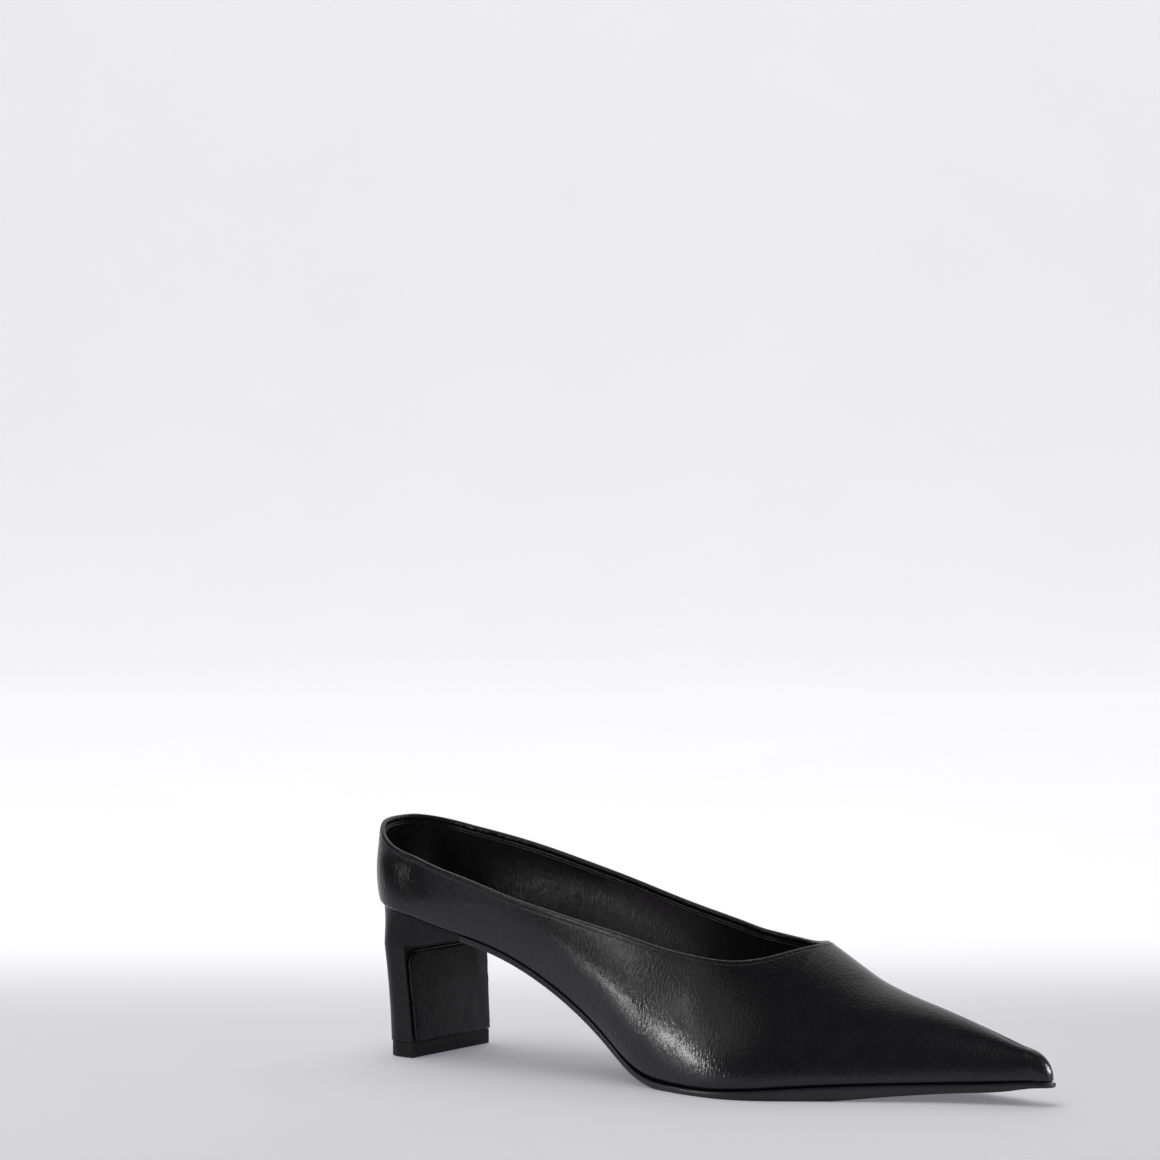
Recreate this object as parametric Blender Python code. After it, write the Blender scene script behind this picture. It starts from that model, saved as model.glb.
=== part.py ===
"""Pointed-toe mule for the right foot, on a wide, thin heel with a rounded back.

The shoe is worked out in its own frame first: X runs from the back of the heel seat
to the tip of the toe, Y runs from the outer (lateral, -Y) side to the inner (medial,
+Y) side, and Z is the height over the floor. At the end the whole shoe is moved so
that the middle of its box's underside is the origin.
"""
import math
from collections import namedtuple

import bmesh
import bpy
import numpy as np

for old in list(bpy.data.objects):
    bpy.data.objects.remove(old)

MM = 0.001

# Driving dimensions
LENGTH = 0.2600          # seat line's back to the tip of the toe, along the floor
BALL_WIDTH = 0.0780      # feather line over the joints of the foot
SEAT_WIDTH = 0.0480      # feather line over the heel seat
SEAT_HEIGHT = 0.0558     # feather line's back end over the floor
BACK_HEIGHT = 0.0285     # collar's back over the seat line
INSTEP_HEIGHT = 0.0496   # throat of the vamp over the floor
THROAT_REACH = 0.1752    # seat line's back to the throat of the vamp
OPENING_WIDTH = 0.0590   # collar's edges across, where the opening is widest
WALL = 0.0018            # upper, leather and lining together
RIM_ROUND = 0.0007       # height of the collar edge's rounding
GAP = 0.0003             # clearance between pieces that touch
MERGE = 0.000001         # points closer than this are one

TOE_SPRING = 0.0078      # feather line at the toe's tip over the floor
TOE_DEPTH = 0.0098       # height of the blunt end of the toe
TOE_WIDTH = 0.0074       # width where the rounded tip begins
TOE_CAP = 0.0065         # length of the rounded tip, seen from above
NOSE_BACK = 0.0066       # how far the ridge's end lies behind the toe's tip
NOSE_START = 0.88        # share of LENGTH where the ribs begin to lean back to it
NOSE_ROUND = 0.35        # length of the ridge's round end, as a share of TOE_CAP
NOSE_PULL = 0.72         # fullness of the toe's blunt end
TOE_POWER = 2.1          # squareness of the rounded tip, seen from above
SEAT_CAP = 0.0200        # length of the seat's rounded back
SEAT_POWER = 2.5         # squareness of the seat's rounded back
BACK_LEAN = 0.0012       # how far the collar's back stands behind the seat line
COUNTER_SWELL = 0.0030   # pull of the counter's swell behind the seat line
COLLAR_SWELL = 0.0013    # the same under the collar's back

SOLE_THICKNESS = 0.0049  # thickest, in front of the joints
SOLE_MARGIN = 0.0007     # sole's edge past the feather line in the forepart
SOLE_EDGE = 0.0006       # how far the sole's lower edge is pared back
SOLE_EDGE_START = 0.55   # share of the sole's depth where the paring starts
SHANK_END = 0.40         # share of LENGTH where the sole is clear of the heel
TREAD_START = 0.50       # and where its edge stands out under the upper
INSOLE_THICKNESS = 0.0024
INSOLE_SHORT = 0.0165    # how far it stops short of the toe's tip
INSOLE_CLEARANCE = 0.00045  # its edge from the upper's inside

HEEL_TURN = math.radians(6.7)   # heel's own axis against the line to the toe
HEEL_WIDTH = 0.0452      # at the top-lift
HEEL_FLARE = 0.0030      # how much wider the column is under the seat
HEEL_PLACE = 0.0146      # seat line's back to the heel's own zero
HEEL_FRONT = 0.0090      # the column's front face at the floor, from that zero
HEEL_RAKE = 0.0028       # how far the front face lies further back under the seat
HEEL_BACK = 0.0068       # the column's back at the floor, from that zero
HEEL_BACK_SWELL = 0.0022 # how far the column's back swells by the seat
HEEL_CAP = 0.0100        # length of the column's rounded back
COLUMN_POWER = 2.6       # squareness of the column's rounded back
HEEL_DROP = 0.0153       # seat line's back down to the end of the breast
HEEL_LIP = 0.0462        # seat line's back to the lip where the sole begins
HEEL_LIP_EDGE = 0.0008   # thickness of that lip
HEEL_INSET = 0.0013      # heel's top edge inside the feather line
SEAT_BEND = 1.25         # how late the seat's underside rises to the lip
TOP_LIFT_THICKNESS = 0.0054
TOP_LIFT_INSET = 0.0003
EDGE_BREAK = 0.0004      # its lower edge
COVER_THICKNESS = 0.0011 # leather flap glued on the breast of the heel
COVER_MARGIN = 0.0012    # its edge in from the column's sides
COVER_DROP = 0.0020      # its top edge under the end of the breast
COVER_CORNER = 0.0055    # radius of its top corners

BREAST_HEIGHT = SEAT_HEIGHT - HEEL_DROP
COLLAR_HEIGHT = SEAT_HEIGHT + BACK_HEIGHT

# The feather line, where the upper meets the bottom: a row for each section.
# along is a share of LENGTH. lateral and medial are the line's distances from
# the shoe's axis, height is its height and sole the depth of the sole there.
Foot = namedtuple("Foot", "along lateral medial height sole")
FEET = [
    Foot(0.000, 0.490 * SEAT_WIDTH, 0.505 * SEAT_WIDTH, 1.000 * SEAT_HEIGHT, 0.42),
    Foot(0.077, 0.534 * SEAT_WIDTH, 0.466 * SEAT_WIDTH, 0.928 * SEAT_HEIGHT, 0.42),
    Foot(0.134, 0.567 * SEAT_WIDTH, 0.433 * SEAT_WIDTH, 0.866 * SEAT_HEIGHT, 0.42),
    Foot(0.190, 0.583 * SEAT_WIDTH, 0.388 * SEAT_WIDTH, 0.808 * SEAT_HEIGHT, 0.43),
    Foot(0.249, 0.362 * BALL_WIDTH, 0.214 * BALL_WIDTH, 0.717 * SEAT_HEIGHT, 0.44),
    Foot(0.306, 0.363 * BALL_WIDTH, 0.200 * BALL_WIDTH, 0.584 * SEAT_HEIGHT, 0.46),
    Foot(0.360, 0.371 * BALL_WIDTH, 0.203 * BALL_WIDTH, 0.422 * SEAT_HEIGHT, 0.50),
    Foot(0.402, 0.391 * BALL_WIDTH, 0.224 * BALL_WIDTH, 0.272 * SEAT_HEIGHT, 0.52),
    Foot(0.443, 0.427 * BALL_WIDTH, 0.268 * BALL_WIDTH, 0.128 * SEAT_HEIGHT, 0.50),
    Foot(0.480, 0.468 * BALL_WIDTH, 0.319 * BALL_WIDTH, 0.063 * SEAT_HEIGHT, 0.52),
    Foot(0.525, 0.521 * BALL_WIDTH, 0.375 * BALL_WIDTH, 0.340 * TOE_SPRING, 0.60),
    Foot(0.575, 0.561 * BALL_WIDTH, 0.415 * BALL_WIDTH, 0.325 * TOE_SPRING, 0.64),
    Foot(0.608, 0.567 * BALL_WIDTH, 0.427 * BALL_WIDTH, 0.375 * TOE_SPRING, 0.70),
    Foot(0.645, 0.540 * BALL_WIDTH, 0.428 * BALL_WIDTH, 0.460 * TOE_SPRING, 0.83),
    Foot(0.690, 0.468 * BALL_WIDTH, 0.402 * BALL_WIDTH, 0.570 * TOE_SPRING, 0.98),
    Foot(0.736, 0.385 * BALL_WIDTH, 0.353 * BALL_WIDTH, 0.665 * TOE_SPRING, 1.00),
    Foot(0.782, 0.303 * BALL_WIDTH, 0.291 * BALL_WIDTH, 0.725 * TOE_SPRING, 0.86),
    Foot(0.839, 0.206 * BALL_WIDTH, 0.209 * BALL_WIDTH, 0.785 * TOE_SPRING, 0.69),
    Foot(0.897, 0.130 * BALL_WIDTH, 0.133 * BALL_WIDTH, 0.865 * TOE_SPRING, 0.60),
    Foot(0.950, 0.800 * TOE_WIDTH, 0.810 * TOE_WIDTH, 0.970 * TOE_SPRING, 0.52),
    Foot(0.975, 0.500 * TOE_WIDTH, 0.500 * TOE_WIDTH, 1.010 * TOE_SPRING, 0.36),
    Foot(1.000, 0.300 * TOE_WIDTH, 0.300 * TOE_WIDTH, 1.000 * TOE_SPRING, 0.24),
]

# Shares of LENGTH: where the opening begins to round, the throat at its front end
# and the vamp's length from there to the toe
OPENING_START = 0.536
THROAT = THROAT_REACH / LENGTH
OPENING_FRONT = THROAT - OPENING_START
VAMP = 1.0 - THROAT

# Half widths of the collar's edge from its back to where the opening begins to
# round. along is a share of LENGTH, lateral and medial are shares of OPENING_WIDTH.
Collar = namedtuple("Collar", "along lateral medial")
COLLARS = [
    Collar(0.000, 0.345, 0.330),
    Collar(0.080, 0.407, 0.368),
    Collar(0.126, 0.458, 0.403),
    Collar(0.169, 0.490, 0.424),
    Collar(0.215, 0.512, 0.440),
    Collar(0.261, 0.527, 0.455),
    Collar(0.306, 0.537, 0.467),
    Collar(0.360, 0.546, 0.480),
    Collar(0.414, 0.557, 0.484),
    Collar(0.460, 0.563, 0.478),
    Collar(0.498, 0.558, 0.458),
    Collar(OPENING_START, 0.535, 0.420),
    Collar(0.600, 0.500, 0.400),
]
ARCH_WIDEST = 0.33       # share of its way up where the arch is widest
OPENING_POWER = 1.75     # squareness of that round front
ARCH_START = 0.450       # share of LENGTH where the sides begin to lean over as an arch

# Heights of the collar's edge on the two sides, from its back to the throat, as
# shares of COLLAR_HEIGHT. The medial side stands higher along the waist.
Edge = namedtuple("Edge", "along lateral medial")
EDGES = [
    Edge(0.000, 0.930, 0.990),
    Edge(0.080, 0.864, 0.945),
    Edge(0.126, 0.826, 0.915),
    Edge(0.169, 0.796, 0.885),
    Edge(0.215, 0.759, 0.848),
    Edge(0.261, 0.721, 0.808),
    Edge(0.306, 0.691, 0.768),
    Edge(0.360, 0.656, 0.716),
    Edge(0.414, 0.623, 0.666),
    Edge(0.460, 0.592, 0.630),
    Edge(0.498, 0.565, 0.603),
    Edge(OPENING_START, 0.545, 0.580),
    Edge(OPENING_START + 0.25 * OPENING_FRONT, 0.532, 0.567),
    Edge(OPENING_START + 0.46 * OPENING_FRONT, 0.530, 0.561),
    Edge(OPENING_START + 0.62 * OPENING_FRONT, 0.540, 0.560),
    Edge(OPENING_START + 0.75 * OPENING_FRONT, 0.556, 0.566),
    Edge(OPENING_START + 0.86 * OPENING_FRONT, 0.572, 0.576),
    Edge(THROAT, INSTEP_HEIGHT / COLLAR_HEIGHT, INSTEP_HEIGHT / COLLAR_HEIGHT),
]

# The vamp's ridge from the throat to the toe.
Ridge = namedtuple("Ridge", "along height")
RIDGES = [
    Ridge(THROAT, 1.000 * INSTEP_HEIGHT),
    Ridge(THROAT + 0.092 * VAMP, 0.903 * INSTEP_HEIGHT),
    Ridge(THROAT + 0.218 * VAMP, 0.780 * INSTEP_HEIGHT),
    Ridge(THROAT + 0.347 * VAMP, 0.687 * INSTEP_HEIGHT),
    Ridge(THROAT + 0.479 * VAMP, 0.618 * INSTEP_HEIGHT),
    Ridge(THROAT + 0.601 * VAMP, 0.554 * INSTEP_HEIGHT),
    Ridge(THROAT + 0.724 * VAMP, 0.480 * INSTEP_HEIGHT),
    Ridge(THROAT + 0.847 * VAMP, TOE_SPRING + 1.210 * TOE_DEPTH),
    Ridge(THROAT + 0.923 * VAMP, TOE_SPRING + 0.980 * TOE_DEPTH),
    Ridge(1.000, TOE_SPRING + 0.720 * TOE_DEPTH),
]

# How each side swells between the feather line and its upper edge. The columns
# that end in foot and top are the pulls outwards at the two ends, as shares of
# BALL_WIDTH. foot_rise and top_drop are the pulls up and down, as shares of the
# side's height.
Swell = namedtuple("Swell", "along lateral_foot medial_foot foot_rise "
                            "lateral_top medial_top top_drop")
SWELLS = [
    Swell(0.000, 0.034, 0.034, 0.34, 0.014, 0.014, 0.30),
    Swell(0.080, 0.026, 0.040, 0.34, 0.006, 0.020, 0.30),
    Swell(0.200, 0.030, 0.100, 0.34, 0.004, 0.036, 0.30),
    Swell(0.320, 0.066, 0.140, 0.34, 0.016, 0.055, 0.32),
    Swell(0.420, 0.105, 0.140, 0.32, 0.050, 0.065, 0.34),
    Swell(0.480, 0.085, 0.110, 0.30, 0.075, 0.080, 0.34),
    Swell(0.536, 0.060, 0.075, 0.28, 0.110, 0.110, 0.34),
]

# The same for the arch over the instep and the toes, whose upper end is level
# at the ridge.
Arch = namedtuple("Arch", "along lateral_foot medial_foot foot_rise "
                          "lateral_top medial_top")
ARCHES = [
    Arch(0.450, 0.100, 0.175, 0.32, 0.330, 0.395),
    Arch(0.500, 0.080, 0.100, 0.32, 0.305, 0.325),
    Arch(0.560, 0.060, 0.065, 0.32, 0.272, 0.262),
    Arch(0.620, 0.045, 0.045, 0.32, 0.242, 0.228),
    Arch(0.673, 0.034, 0.034, 0.33, 0.226, 0.212),
    Arch(0.740, 0.025, 0.025, 0.36, 0.196, 0.188),
    Arch(0.840, 0.014, 0.014, 0.40, 0.128, 0.128),
    Arch(0.930, 0.010, 0.010, 0.42, 0.070, 0.070),
    Arch(1.000, 0.010, 0.010, 0.45, 0.034, 0.034),
]

# Counts of faces
SEAT_RIBS = 8            # round a quarter of the heel
OPENING_RIBS = 9         # round one side of the opening's front
TIP_RIBS = 5             # round a quarter of the toe's tip
WAIST_STEP = 0.0058      # between ribs along the shoe
RIB_STEPS = 10           # up a rib
HEEL_ARC = 22            # round the heel's back
SIDE_STEPS = 4           # along the heel's sides
CORNER_STEPS = 6         # round a corner of the breast's cover
STEP_LEFT = 0.4          # least share of WAIST_STEP between the lip and the next rib
SHARP = math.radians(40) # edges that turn by more than this are shaded sharp
HALVINGS = 40            # to find where a rib meets the collar's edge


def smooth_curve(places, values):
    """Curve with no breaks in its bend through the rows of a table."""
    places = np.asarray(places, float)
    values = np.asarray(values, float)
    step = np.diff(places)
    rise = np.diff(values) / step
    count = len(places)
    system = np.zeros((count, count))
    target = np.zeros(count)
    system[0, 0] = system[-1, -1] = 1.0
    for row in range(1, count - 1):
        system[row, row - 1] = step[row - 1]
        system[row, row] = 2.0 * (step[row - 1] + step[row])
        system[row, row + 1] = step[row]
        target[row] = 6.0 * (rise[row] - rise[row - 1])
    bend = np.linalg.solve(system, target)

    def at(place):
        k = int(np.clip(np.searchsorted(places, place) - 1, 0, count - 2))
        left = place - places[k]
        right = places[k + 1] - place
        width = step[k]
        return float(
            (bend[k] * right ** 3 + bend[k + 1] * left ** 3) / (6.0 * width)
            + (values[k] / width - bend[k] * width / 6.0) * right
            + (values[k + 1] / width - bend[k + 1] * width / 6.0) * left)

    return at


def column(rows, name, size=1.0):
    """Smooth curve of one column of a table along the shoe."""
    along = [row.along * LENGTH for row in rows]
    return smooth_curve(along, [getattr(row, name) * size for row in rows])


def blend(start, end, place):
    """Soft step from 0 at start to 1 at end."""
    t = min(max((place - start) / (end - start), 0.0), 1.0)
    return t * t * (3.0 - 2.0 * t)


LATERAL, MEDIAL = -1.0, 1.0
foot_half = {LATERAL: column(FEET, "lateral"), MEDIAL: column(FEET, "medial")}
foot_height = column(FEET, "height")
sole_depth = column(FEET, "sole", SOLE_THICKNESS)
collar_half = {LATERAL: column(COLLARS, "lateral", OPENING_WIDTH),
               MEDIAL: column(COLLARS, "medial", OPENING_WIDTH)}
collar_height = {LATERAL: column(EDGES, "lateral", COLLAR_HEIGHT),
                 MEDIAL: column(EDGES, "medial", COLLAR_HEIGHT)}
ridge_height = column(RIDGES, "height")
side_foot = {LATERAL: column(SWELLS, "lateral_foot", BALL_WIDTH),
             MEDIAL: column(SWELLS, "medial_foot", BALL_WIDTH)}
side_top = {LATERAL: column(SWELLS, "lateral_top", BALL_WIDTH),
            MEDIAL: column(SWELLS, "medial_top", BALL_WIDTH)}
side_rise = column(SWELLS, "foot_rise")
side_drop = column(SWELLS, "top_drop")
arch_foot = {LATERAL: column(ARCHES, "lateral_foot", BALL_WIDTH),
             MEDIAL: column(ARCHES, "medial_foot", BALL_WIDTH)}
arch_top = {LATERAL: column(ARCHES, "lateral_top", BALL_WIDTH),
            MEDIAL: column(ARCHES, "medial_top", BALL_WIDTH)}
arch_rise = column(ARCHES, "foot_rise")


def rounded(turn, power):
    """Cosine and sine of a squarish round end: turn is 0 at its middle, 90 deg at its side."""
    return (max(math.cos(turn), 0.0) ** (2.0 / power),
            max(math.sin(turn), 0.0) ** (2.0 / power))


def bezier(foot, low, high, top, t):
    return ((1 - t) ** 3 * foot + 3 * (1 - t) ** 2 * t * low
            + 3 * (1 - t) * t ** 2 * high + t ** 3 * top)


def foot_point(x, y):
    return np.array([x, y, foot_height(min(max(x, 0.0), LENGTH))])


# A rib is a line of points up one side of the upper, from the feather line to
# the collar's edge or to the vamp's ridge. kind is seat, collar, vamp or tip.
Rib = namedtuple("Rib", "kind turn points")
UP = np.array([0.0, 0.0, 1.0])


def seat_rib(side, turn):
    """Rib that fans round the heel: turn is 0 at its back and 90 deg at its side."""
    cosine, sine = rounded(turn, SEAT_POWER)
    foot = foot_point(SEAT_CAP * (1.0 - cosine), side * foot_half[side](SEAT_CAP) * sine)
    x = SEAT_CAP - (SEAT_CAP + BACK_LEAN) * cosine
    peak = COLLAR_HEIGHT - collar_height[side](0.0)
    height = collar_height[side](max(x, 0.0)) + peak * math.cos(turn) ** 2
    top = np.array([x, side * collar_half[side](SEAT_CAP) * sine, height])
    away = np.array([-math.cos(turn), side * math.sin(turn), 0.0])
    back, flank = math.cos(turn) ** 2, math.sin(turn) ** 2
    low_swell = COUNTER_SWELL * back + side_foot[side](SEAT_CAP) * flank
    high_swell = COLLAR_SWELL * back + side_top[side](SEAT_CAP) * flank
    high = top[2] - foot[2]
    low_pull = foot + away * low_swell + UP * side_rise(SEAT_CAP) * high
    high_pull = top + away * high_swell - UP * side_drop(SEAT_CAP) * high
    points = [bezier(foot, low_pull, high_pull, top, k / RIB_STEPS)
              for k in range(RIB_STEPS + 1)]
    return Rib("seat", turn, points)


def wall_points(side, x):
    """Points up the side of the collar at a section."""
    foot = foot_point(x, side * foot_half[side](x))
    top = np.array([x, side * collar_half[side](x), collar_height[side](x)])
    high = top[2] - foot[2]
    low_pull = foot + np.array([0.0, side * side_foot[side](x), side_rise(x) * high])
    high_pull = top + np.array([0.0, side * side_top[side](x), -side_drop(x) * high])
    return [bezier(foot, low_pull, high_pull, top, k / RIB_STEPS)
            for k in range(RIB_STEPS + 1)]


def arch_points(side, x, ridge, end=1.0):
    """Points up the arch over the foot at a section, to a share of its way to the ridge."""
    foot = foot_point(x, side * foot_half[side](x))
    back = NOSE_BACK * blend(NOSE_START * LENGTH, LENGTH - TOE_CAP, x)
    high = ridge - foot[2]
    low_pull = foot + np.array([0.0, side * arch_foot[side](x), arch_rise(x) * high])
    top = np.array([x - back, 0.0, ridge])
    high_pull = top + np.array([back * NOSE_PULL, side * arch_top[side](x), 0.0])
    return [bezier(foot, low_pull, high_pull, top, end * k / RIB_STEPS)
            for k in range(RIB_STEPS + 1)]


def edge_points(side, x, half):
    """Points up the arch that the instep would have, as far as the collar's edge."""
    foot = foot_half[side](x)
    low, high = ARCH_WIDEST, 1.0
    for _ in range(HALVINGS):
        end = (low + high) / 2
        if bezier(foot, foot + arch_foot[side](x), arch_top[side](x), 0.0, end) > half:
            low = end
        else:
            high = end
    # Weight of the foot's height in the edge's, which leaves the rest to the ridge
    weight = (1 - end) ** 3 + 3 * (1 - end) ** 2 * end * (1 - arch_rise(x))
    ridge = (collar_height[side](x) - weight * foot_height(x)) / (1 - weight)
    return arch_points(side, x, ridge, end)


def collar_rib(side, x):
    """Rib of the collar's side, which turns from a wall into the instep's arch."""
    share = blend(ARCH_START * LENGTH, OPENING_START * LENGTH, x)
    points = wall_points(side, x)
    if share > 0.0:
        arch = edge_points(side, x, collar_half[side](x))
        points = [a + (b - a) * share for a, b in zip(points, arch)]
    return Rib("collar", math.pi / 2, points)


def opening_rib(side, turn):
    """Rib that ends on the round front of the opening: turn is 0 at the throat."""
    start = OPENING_START * LENGTH
    cosine, sine = rounded(turn, OPENING_POWER)
    x = start + (THROAT_REACH - start) * cosine
    return Rib("collar", math.pi / 2, edge_points(side, x, collar_half[side](start) * sine))


def vamp_rib(side, x):
    back = NOSE_BACK * blend(NOSE_START * LENGTH, LENGTH - TOE_CAP, x)
    return Rib("vamp", math.pi / 2, arch_points(side, x, ridge_height(x - back)))


def tip_rib(side, turn):
    """Rib round the toe's tip: turn is 0 at the tip and 90 deg at its side."""
    start = LENGTH - TOE_CAP
    cosine, sine = rounded(turn, TOE_POWER)
    foot = foot_point(start + TOE_CAP * cosine, side * foot_half[side](start) * sine)
    top_x = start - NOSE_BACK + TOE_CAP * NOSE_ROUND * cosine
    top = np.array([top_x, 0.0, ridge_height(top_x)])
    high = top[2] - foot[2]
    low_pull = foot + UP * arch_rise(foot[0]) * high
    low_pull += np.array([cosine, side * sine, 0.0]) * arch_foot[side](start)
    forward = (foot[0] - top[0]) * NOSE_PULL
    high_pull = top + np.array([forward, side * arch_top[side](start) * sine, 0.0])
    points = [bezier(foot, low_pull, high_pull, top, k / RIB_STEPS)
              for k in range(RIB_STEPS + 1)]
    return Rib("tip", turn, points)


def spread(start, end, step):
    """Even places between two ends, both left out."""
    count = max(int(round((end - start) / step)), 1)
    return [start + (end - start) * k / count for k in range(1, count)]


def side_ribs(side):
    """All ribs of one side, from the back of the heel to the toe's tip."""
    quarter = math.pi / 2
    start = OPENING_START * LENGTH
    ribs = [seat_rib(side, quarter * k / SEAT_RIBS) for k in range(SEAT_RIBS + 1)]
    ribs += [collar_rib(side, x) for x in spread(SEAT_CAP, start, WAIST_STEP)]
    ribs += [opening_rib(side, quarter * (1 - k / OPENING_RIBS))
             for k in range(OPENING_RIBS + 1)]
    ribs += [vamp_rib(side, x) for x in spread(THROAT_REACH, LENGTH - TOE_CAP, WAIST_STEP)]
    ribs += [tip_rib(side, quarter * (1 - k / TIP_RIBS)) for k in range(TIP_RIBS + 1)]
    return ribs


def new_object(name, mesh_data, material):
    mesh = bpy.data.meshes.new(name)
    mesh_data.to_mesh(mesh)
    mesh_data.free()
    mesh.materials.append(material)
    mesh.shade_smooth()
    mesh.set_sharp_from_angle(angle=SHARP)
    thing = bpy.data.objects.new(name, mesh)
    bpy.context.scene.collection.objects.link(thing)
    thing.parent = shoe
    return thing


def material(name, colour, roughness, metallic=0.0):
    made = bpy.data.materials.new(name)
    made.use_nodes = True
    shader = made.node_tree.nodes["Principled BSDF"]
    shader.inputs["Base Color"].default_value = (*colour, 1.0)
    shader.inputs["Roughness"].default_value = roughness
    shader.inputs["Metallic"].default_value = metallic
    return made


def grid_faces(work, rows):
    """Quads between rows of points; corners that meet are merged afterwards."""
    made = [[work.verts.new(point) for point in row] for row in rows]
    for first, second in zip(made, made[1:]):
        for k in range(len(first) - 1):
            work.faces.new((first[k], first[k + 1], second[k + 1], second[k]))
    return made


def close_up(work):
    """Merges what meets, drops what has shrunk to nothing and turns faces out."""
    bmesh.ops.remove_doubles(work, verts=work.verts, dist=MERGE)
    bmesh.ops.dissolve_degenerate(work, edges=work.edges, dist=MERGE)
    bmesh.ops.triangulate(work, faces=work.faces)
    bmesh.ops.recalc_face_normals(work, faces=work.faces)


def grid_normals(rows, side):
    """Outward direction at each point of one side's grid."""
    grid = np.array(rows)
    along = np.gradient(grid, axis=0)
    up = np.gradient(grid, axis=1)
    out = np.cross(along, up) * -side
    size = np.linalg.norm(out, axis=2, keepdims=True)
    return out / np.maximum(size, MERGE ** 2)


def ridge_normal(x):
    """Direction straight out of the vamp's ridge."""
    slope = (ridge_height(x + MM) - ridge_height(x - MM)) / (2 * MM)
    return np.array([-slope, 0.0, 1.0])


def upper_side(side):
    """Outer and inner points of one side of the upper, rib by rib."""
    ribs = side_ribs(side)
    outer = [rib.points for rib in ribs]
    normals = grid_normals(outer, side)
    inner = []
    for rib, points, outs in zip(ribs, outer, normals):
        row = []
        for k, (point, out) in enumerate(zip(points, outs)):
            way = out.copy()
            if k == RIB_STEPS and rib.kind in ("vamp", "tip"):
                way = ridge_normal(point[0])
            elif k in (0, RIB_STEPS):
                way[2] = 0.0
            if abs(point[1]) < MERGE:
                way[1] = 0.0
            way /= np.linalg.norm(way)
            moved = point - way * WALL
            if k == 0:
                moved[2] = foot_height(min(max(moved[0], 0.0), LENGTH))
            row.append(moved)
        inner.append(row)
    return ribs, outer, inner


def make_upper():
    work = bmesh.new()
    for side in (LATERAL, MEDIAL):
        ribs, outer, inner = upper_side(side)
        grid_faces(work, outer)
        grid_faces(work, inner)
        grid_faces(work, [[a[0], b[0]] for a, b in zip(outer, inner)])
        grid_faces(work, [[a[-1], (a[-1] + b[-1]) / 2 + UP * RIM_ROUND, b[-1]]
                          for rib, a, b in zip(ribs, outer, inner)
                          if rib.kind in ("seat", "collar")])
    close_up(work)
    return new_object("upper", work, UPPER_LEATHER)


def sole_top(x):
    return foot_height(min(max(x, 0.0), LENGTH)) - GAP


def sole_bottom(x):
    return max(sole_top(x) - sole_depth(min(max(x, 0.0), LENGTH)), 0.0)


def sole_stations():
    """Places along the sole, the same as those of the upper's ribs, with half widths."""
    return [(left.points[0][0], -left.points[0][1], right.points[0][1])
            for left, right in zip(side_ribs(LATERAL), side_ribs(MEDIAL))]


def make_outsole():
    work = bmesh.new()
    lip = HEEL_LIP + GAP
    first = sole_half(lip)
    stations = [(lip, first[0], first[1])]
    stations += [s for s in sole_stations() if s[0] > lip + WAIST_STEP * STEP_LEFT]
    rings = []
    for x, lateral, medial in stations:
        forepart = blend(LENGTH * SHANK_END, LENGTH * TREAD_START, x)
        margin = SOLE_MARGIN * forepart - GAP * (1.0 - forepart)
        tip = blend(LENGTH - TOE_CAP, LENGTH, x) * margin
        fade = 1.0 - blend(lip, LENGTH * SHANK_END, x)
        ring = []
        for y, level, inset in ring_points(lateral + margin, medial + margin):
            place = x + tip + y * math.tan(HEEL_TURN) * fade
            top = sole_top(place)
            low = sole_bottom(place)
            narrow = 1.0 if x < LENGTH - MERGE else 0.0
            z = top + (low - top) * level
            width = (abs(y) - inset * SOLE_EDGE) * narrow
            ring.append(np.array([place - (inset * SOLE_EDGE if narrow == 0.0 else 0.0),
                                  math.copysign(max(width, 0.0), y), z]))
        rings.append(ring + ring[:1])
    grid_faces(work, rings)
    cap_ring(work, rings[0][:-1])
    close_up(work)
    return new_object("outsole", work, SOLE_LEATHER)


def sole_half(x):
    return foot_half[LATERAL](x), foot_half[MEDIAL](x)


def ring_points(lateral, medial):
    """Round a section of the sole: sideways place, depth share and paring share."""
    return [(-lateral, 0.0, 0.0), (-lateral, SOLE_EDGE_START, 0.0), (-lateral, 1.0, 1.0),
            (medial, 1.0, 1.0), (medial, SOLE_EDGE_START, 0.0), (medial, 0.0, 0.0)]


def cap_ring(work, ring):
    """Closes the end of a lofted piece with one flat face."""
    work.faces.new([work.verts.new(point) for point in ring])


def inner_row(row, height):
    """Place on an inner rib at a height over its foot."""
    for low, high in zip(row, row[1:]):
        if high[2] - row[0][2] >= height:
            t = (height - (low[2] - row[0][2])) / (high[2] - low[2])
            return low + (high - low) * t
    return row[-1]


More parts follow.
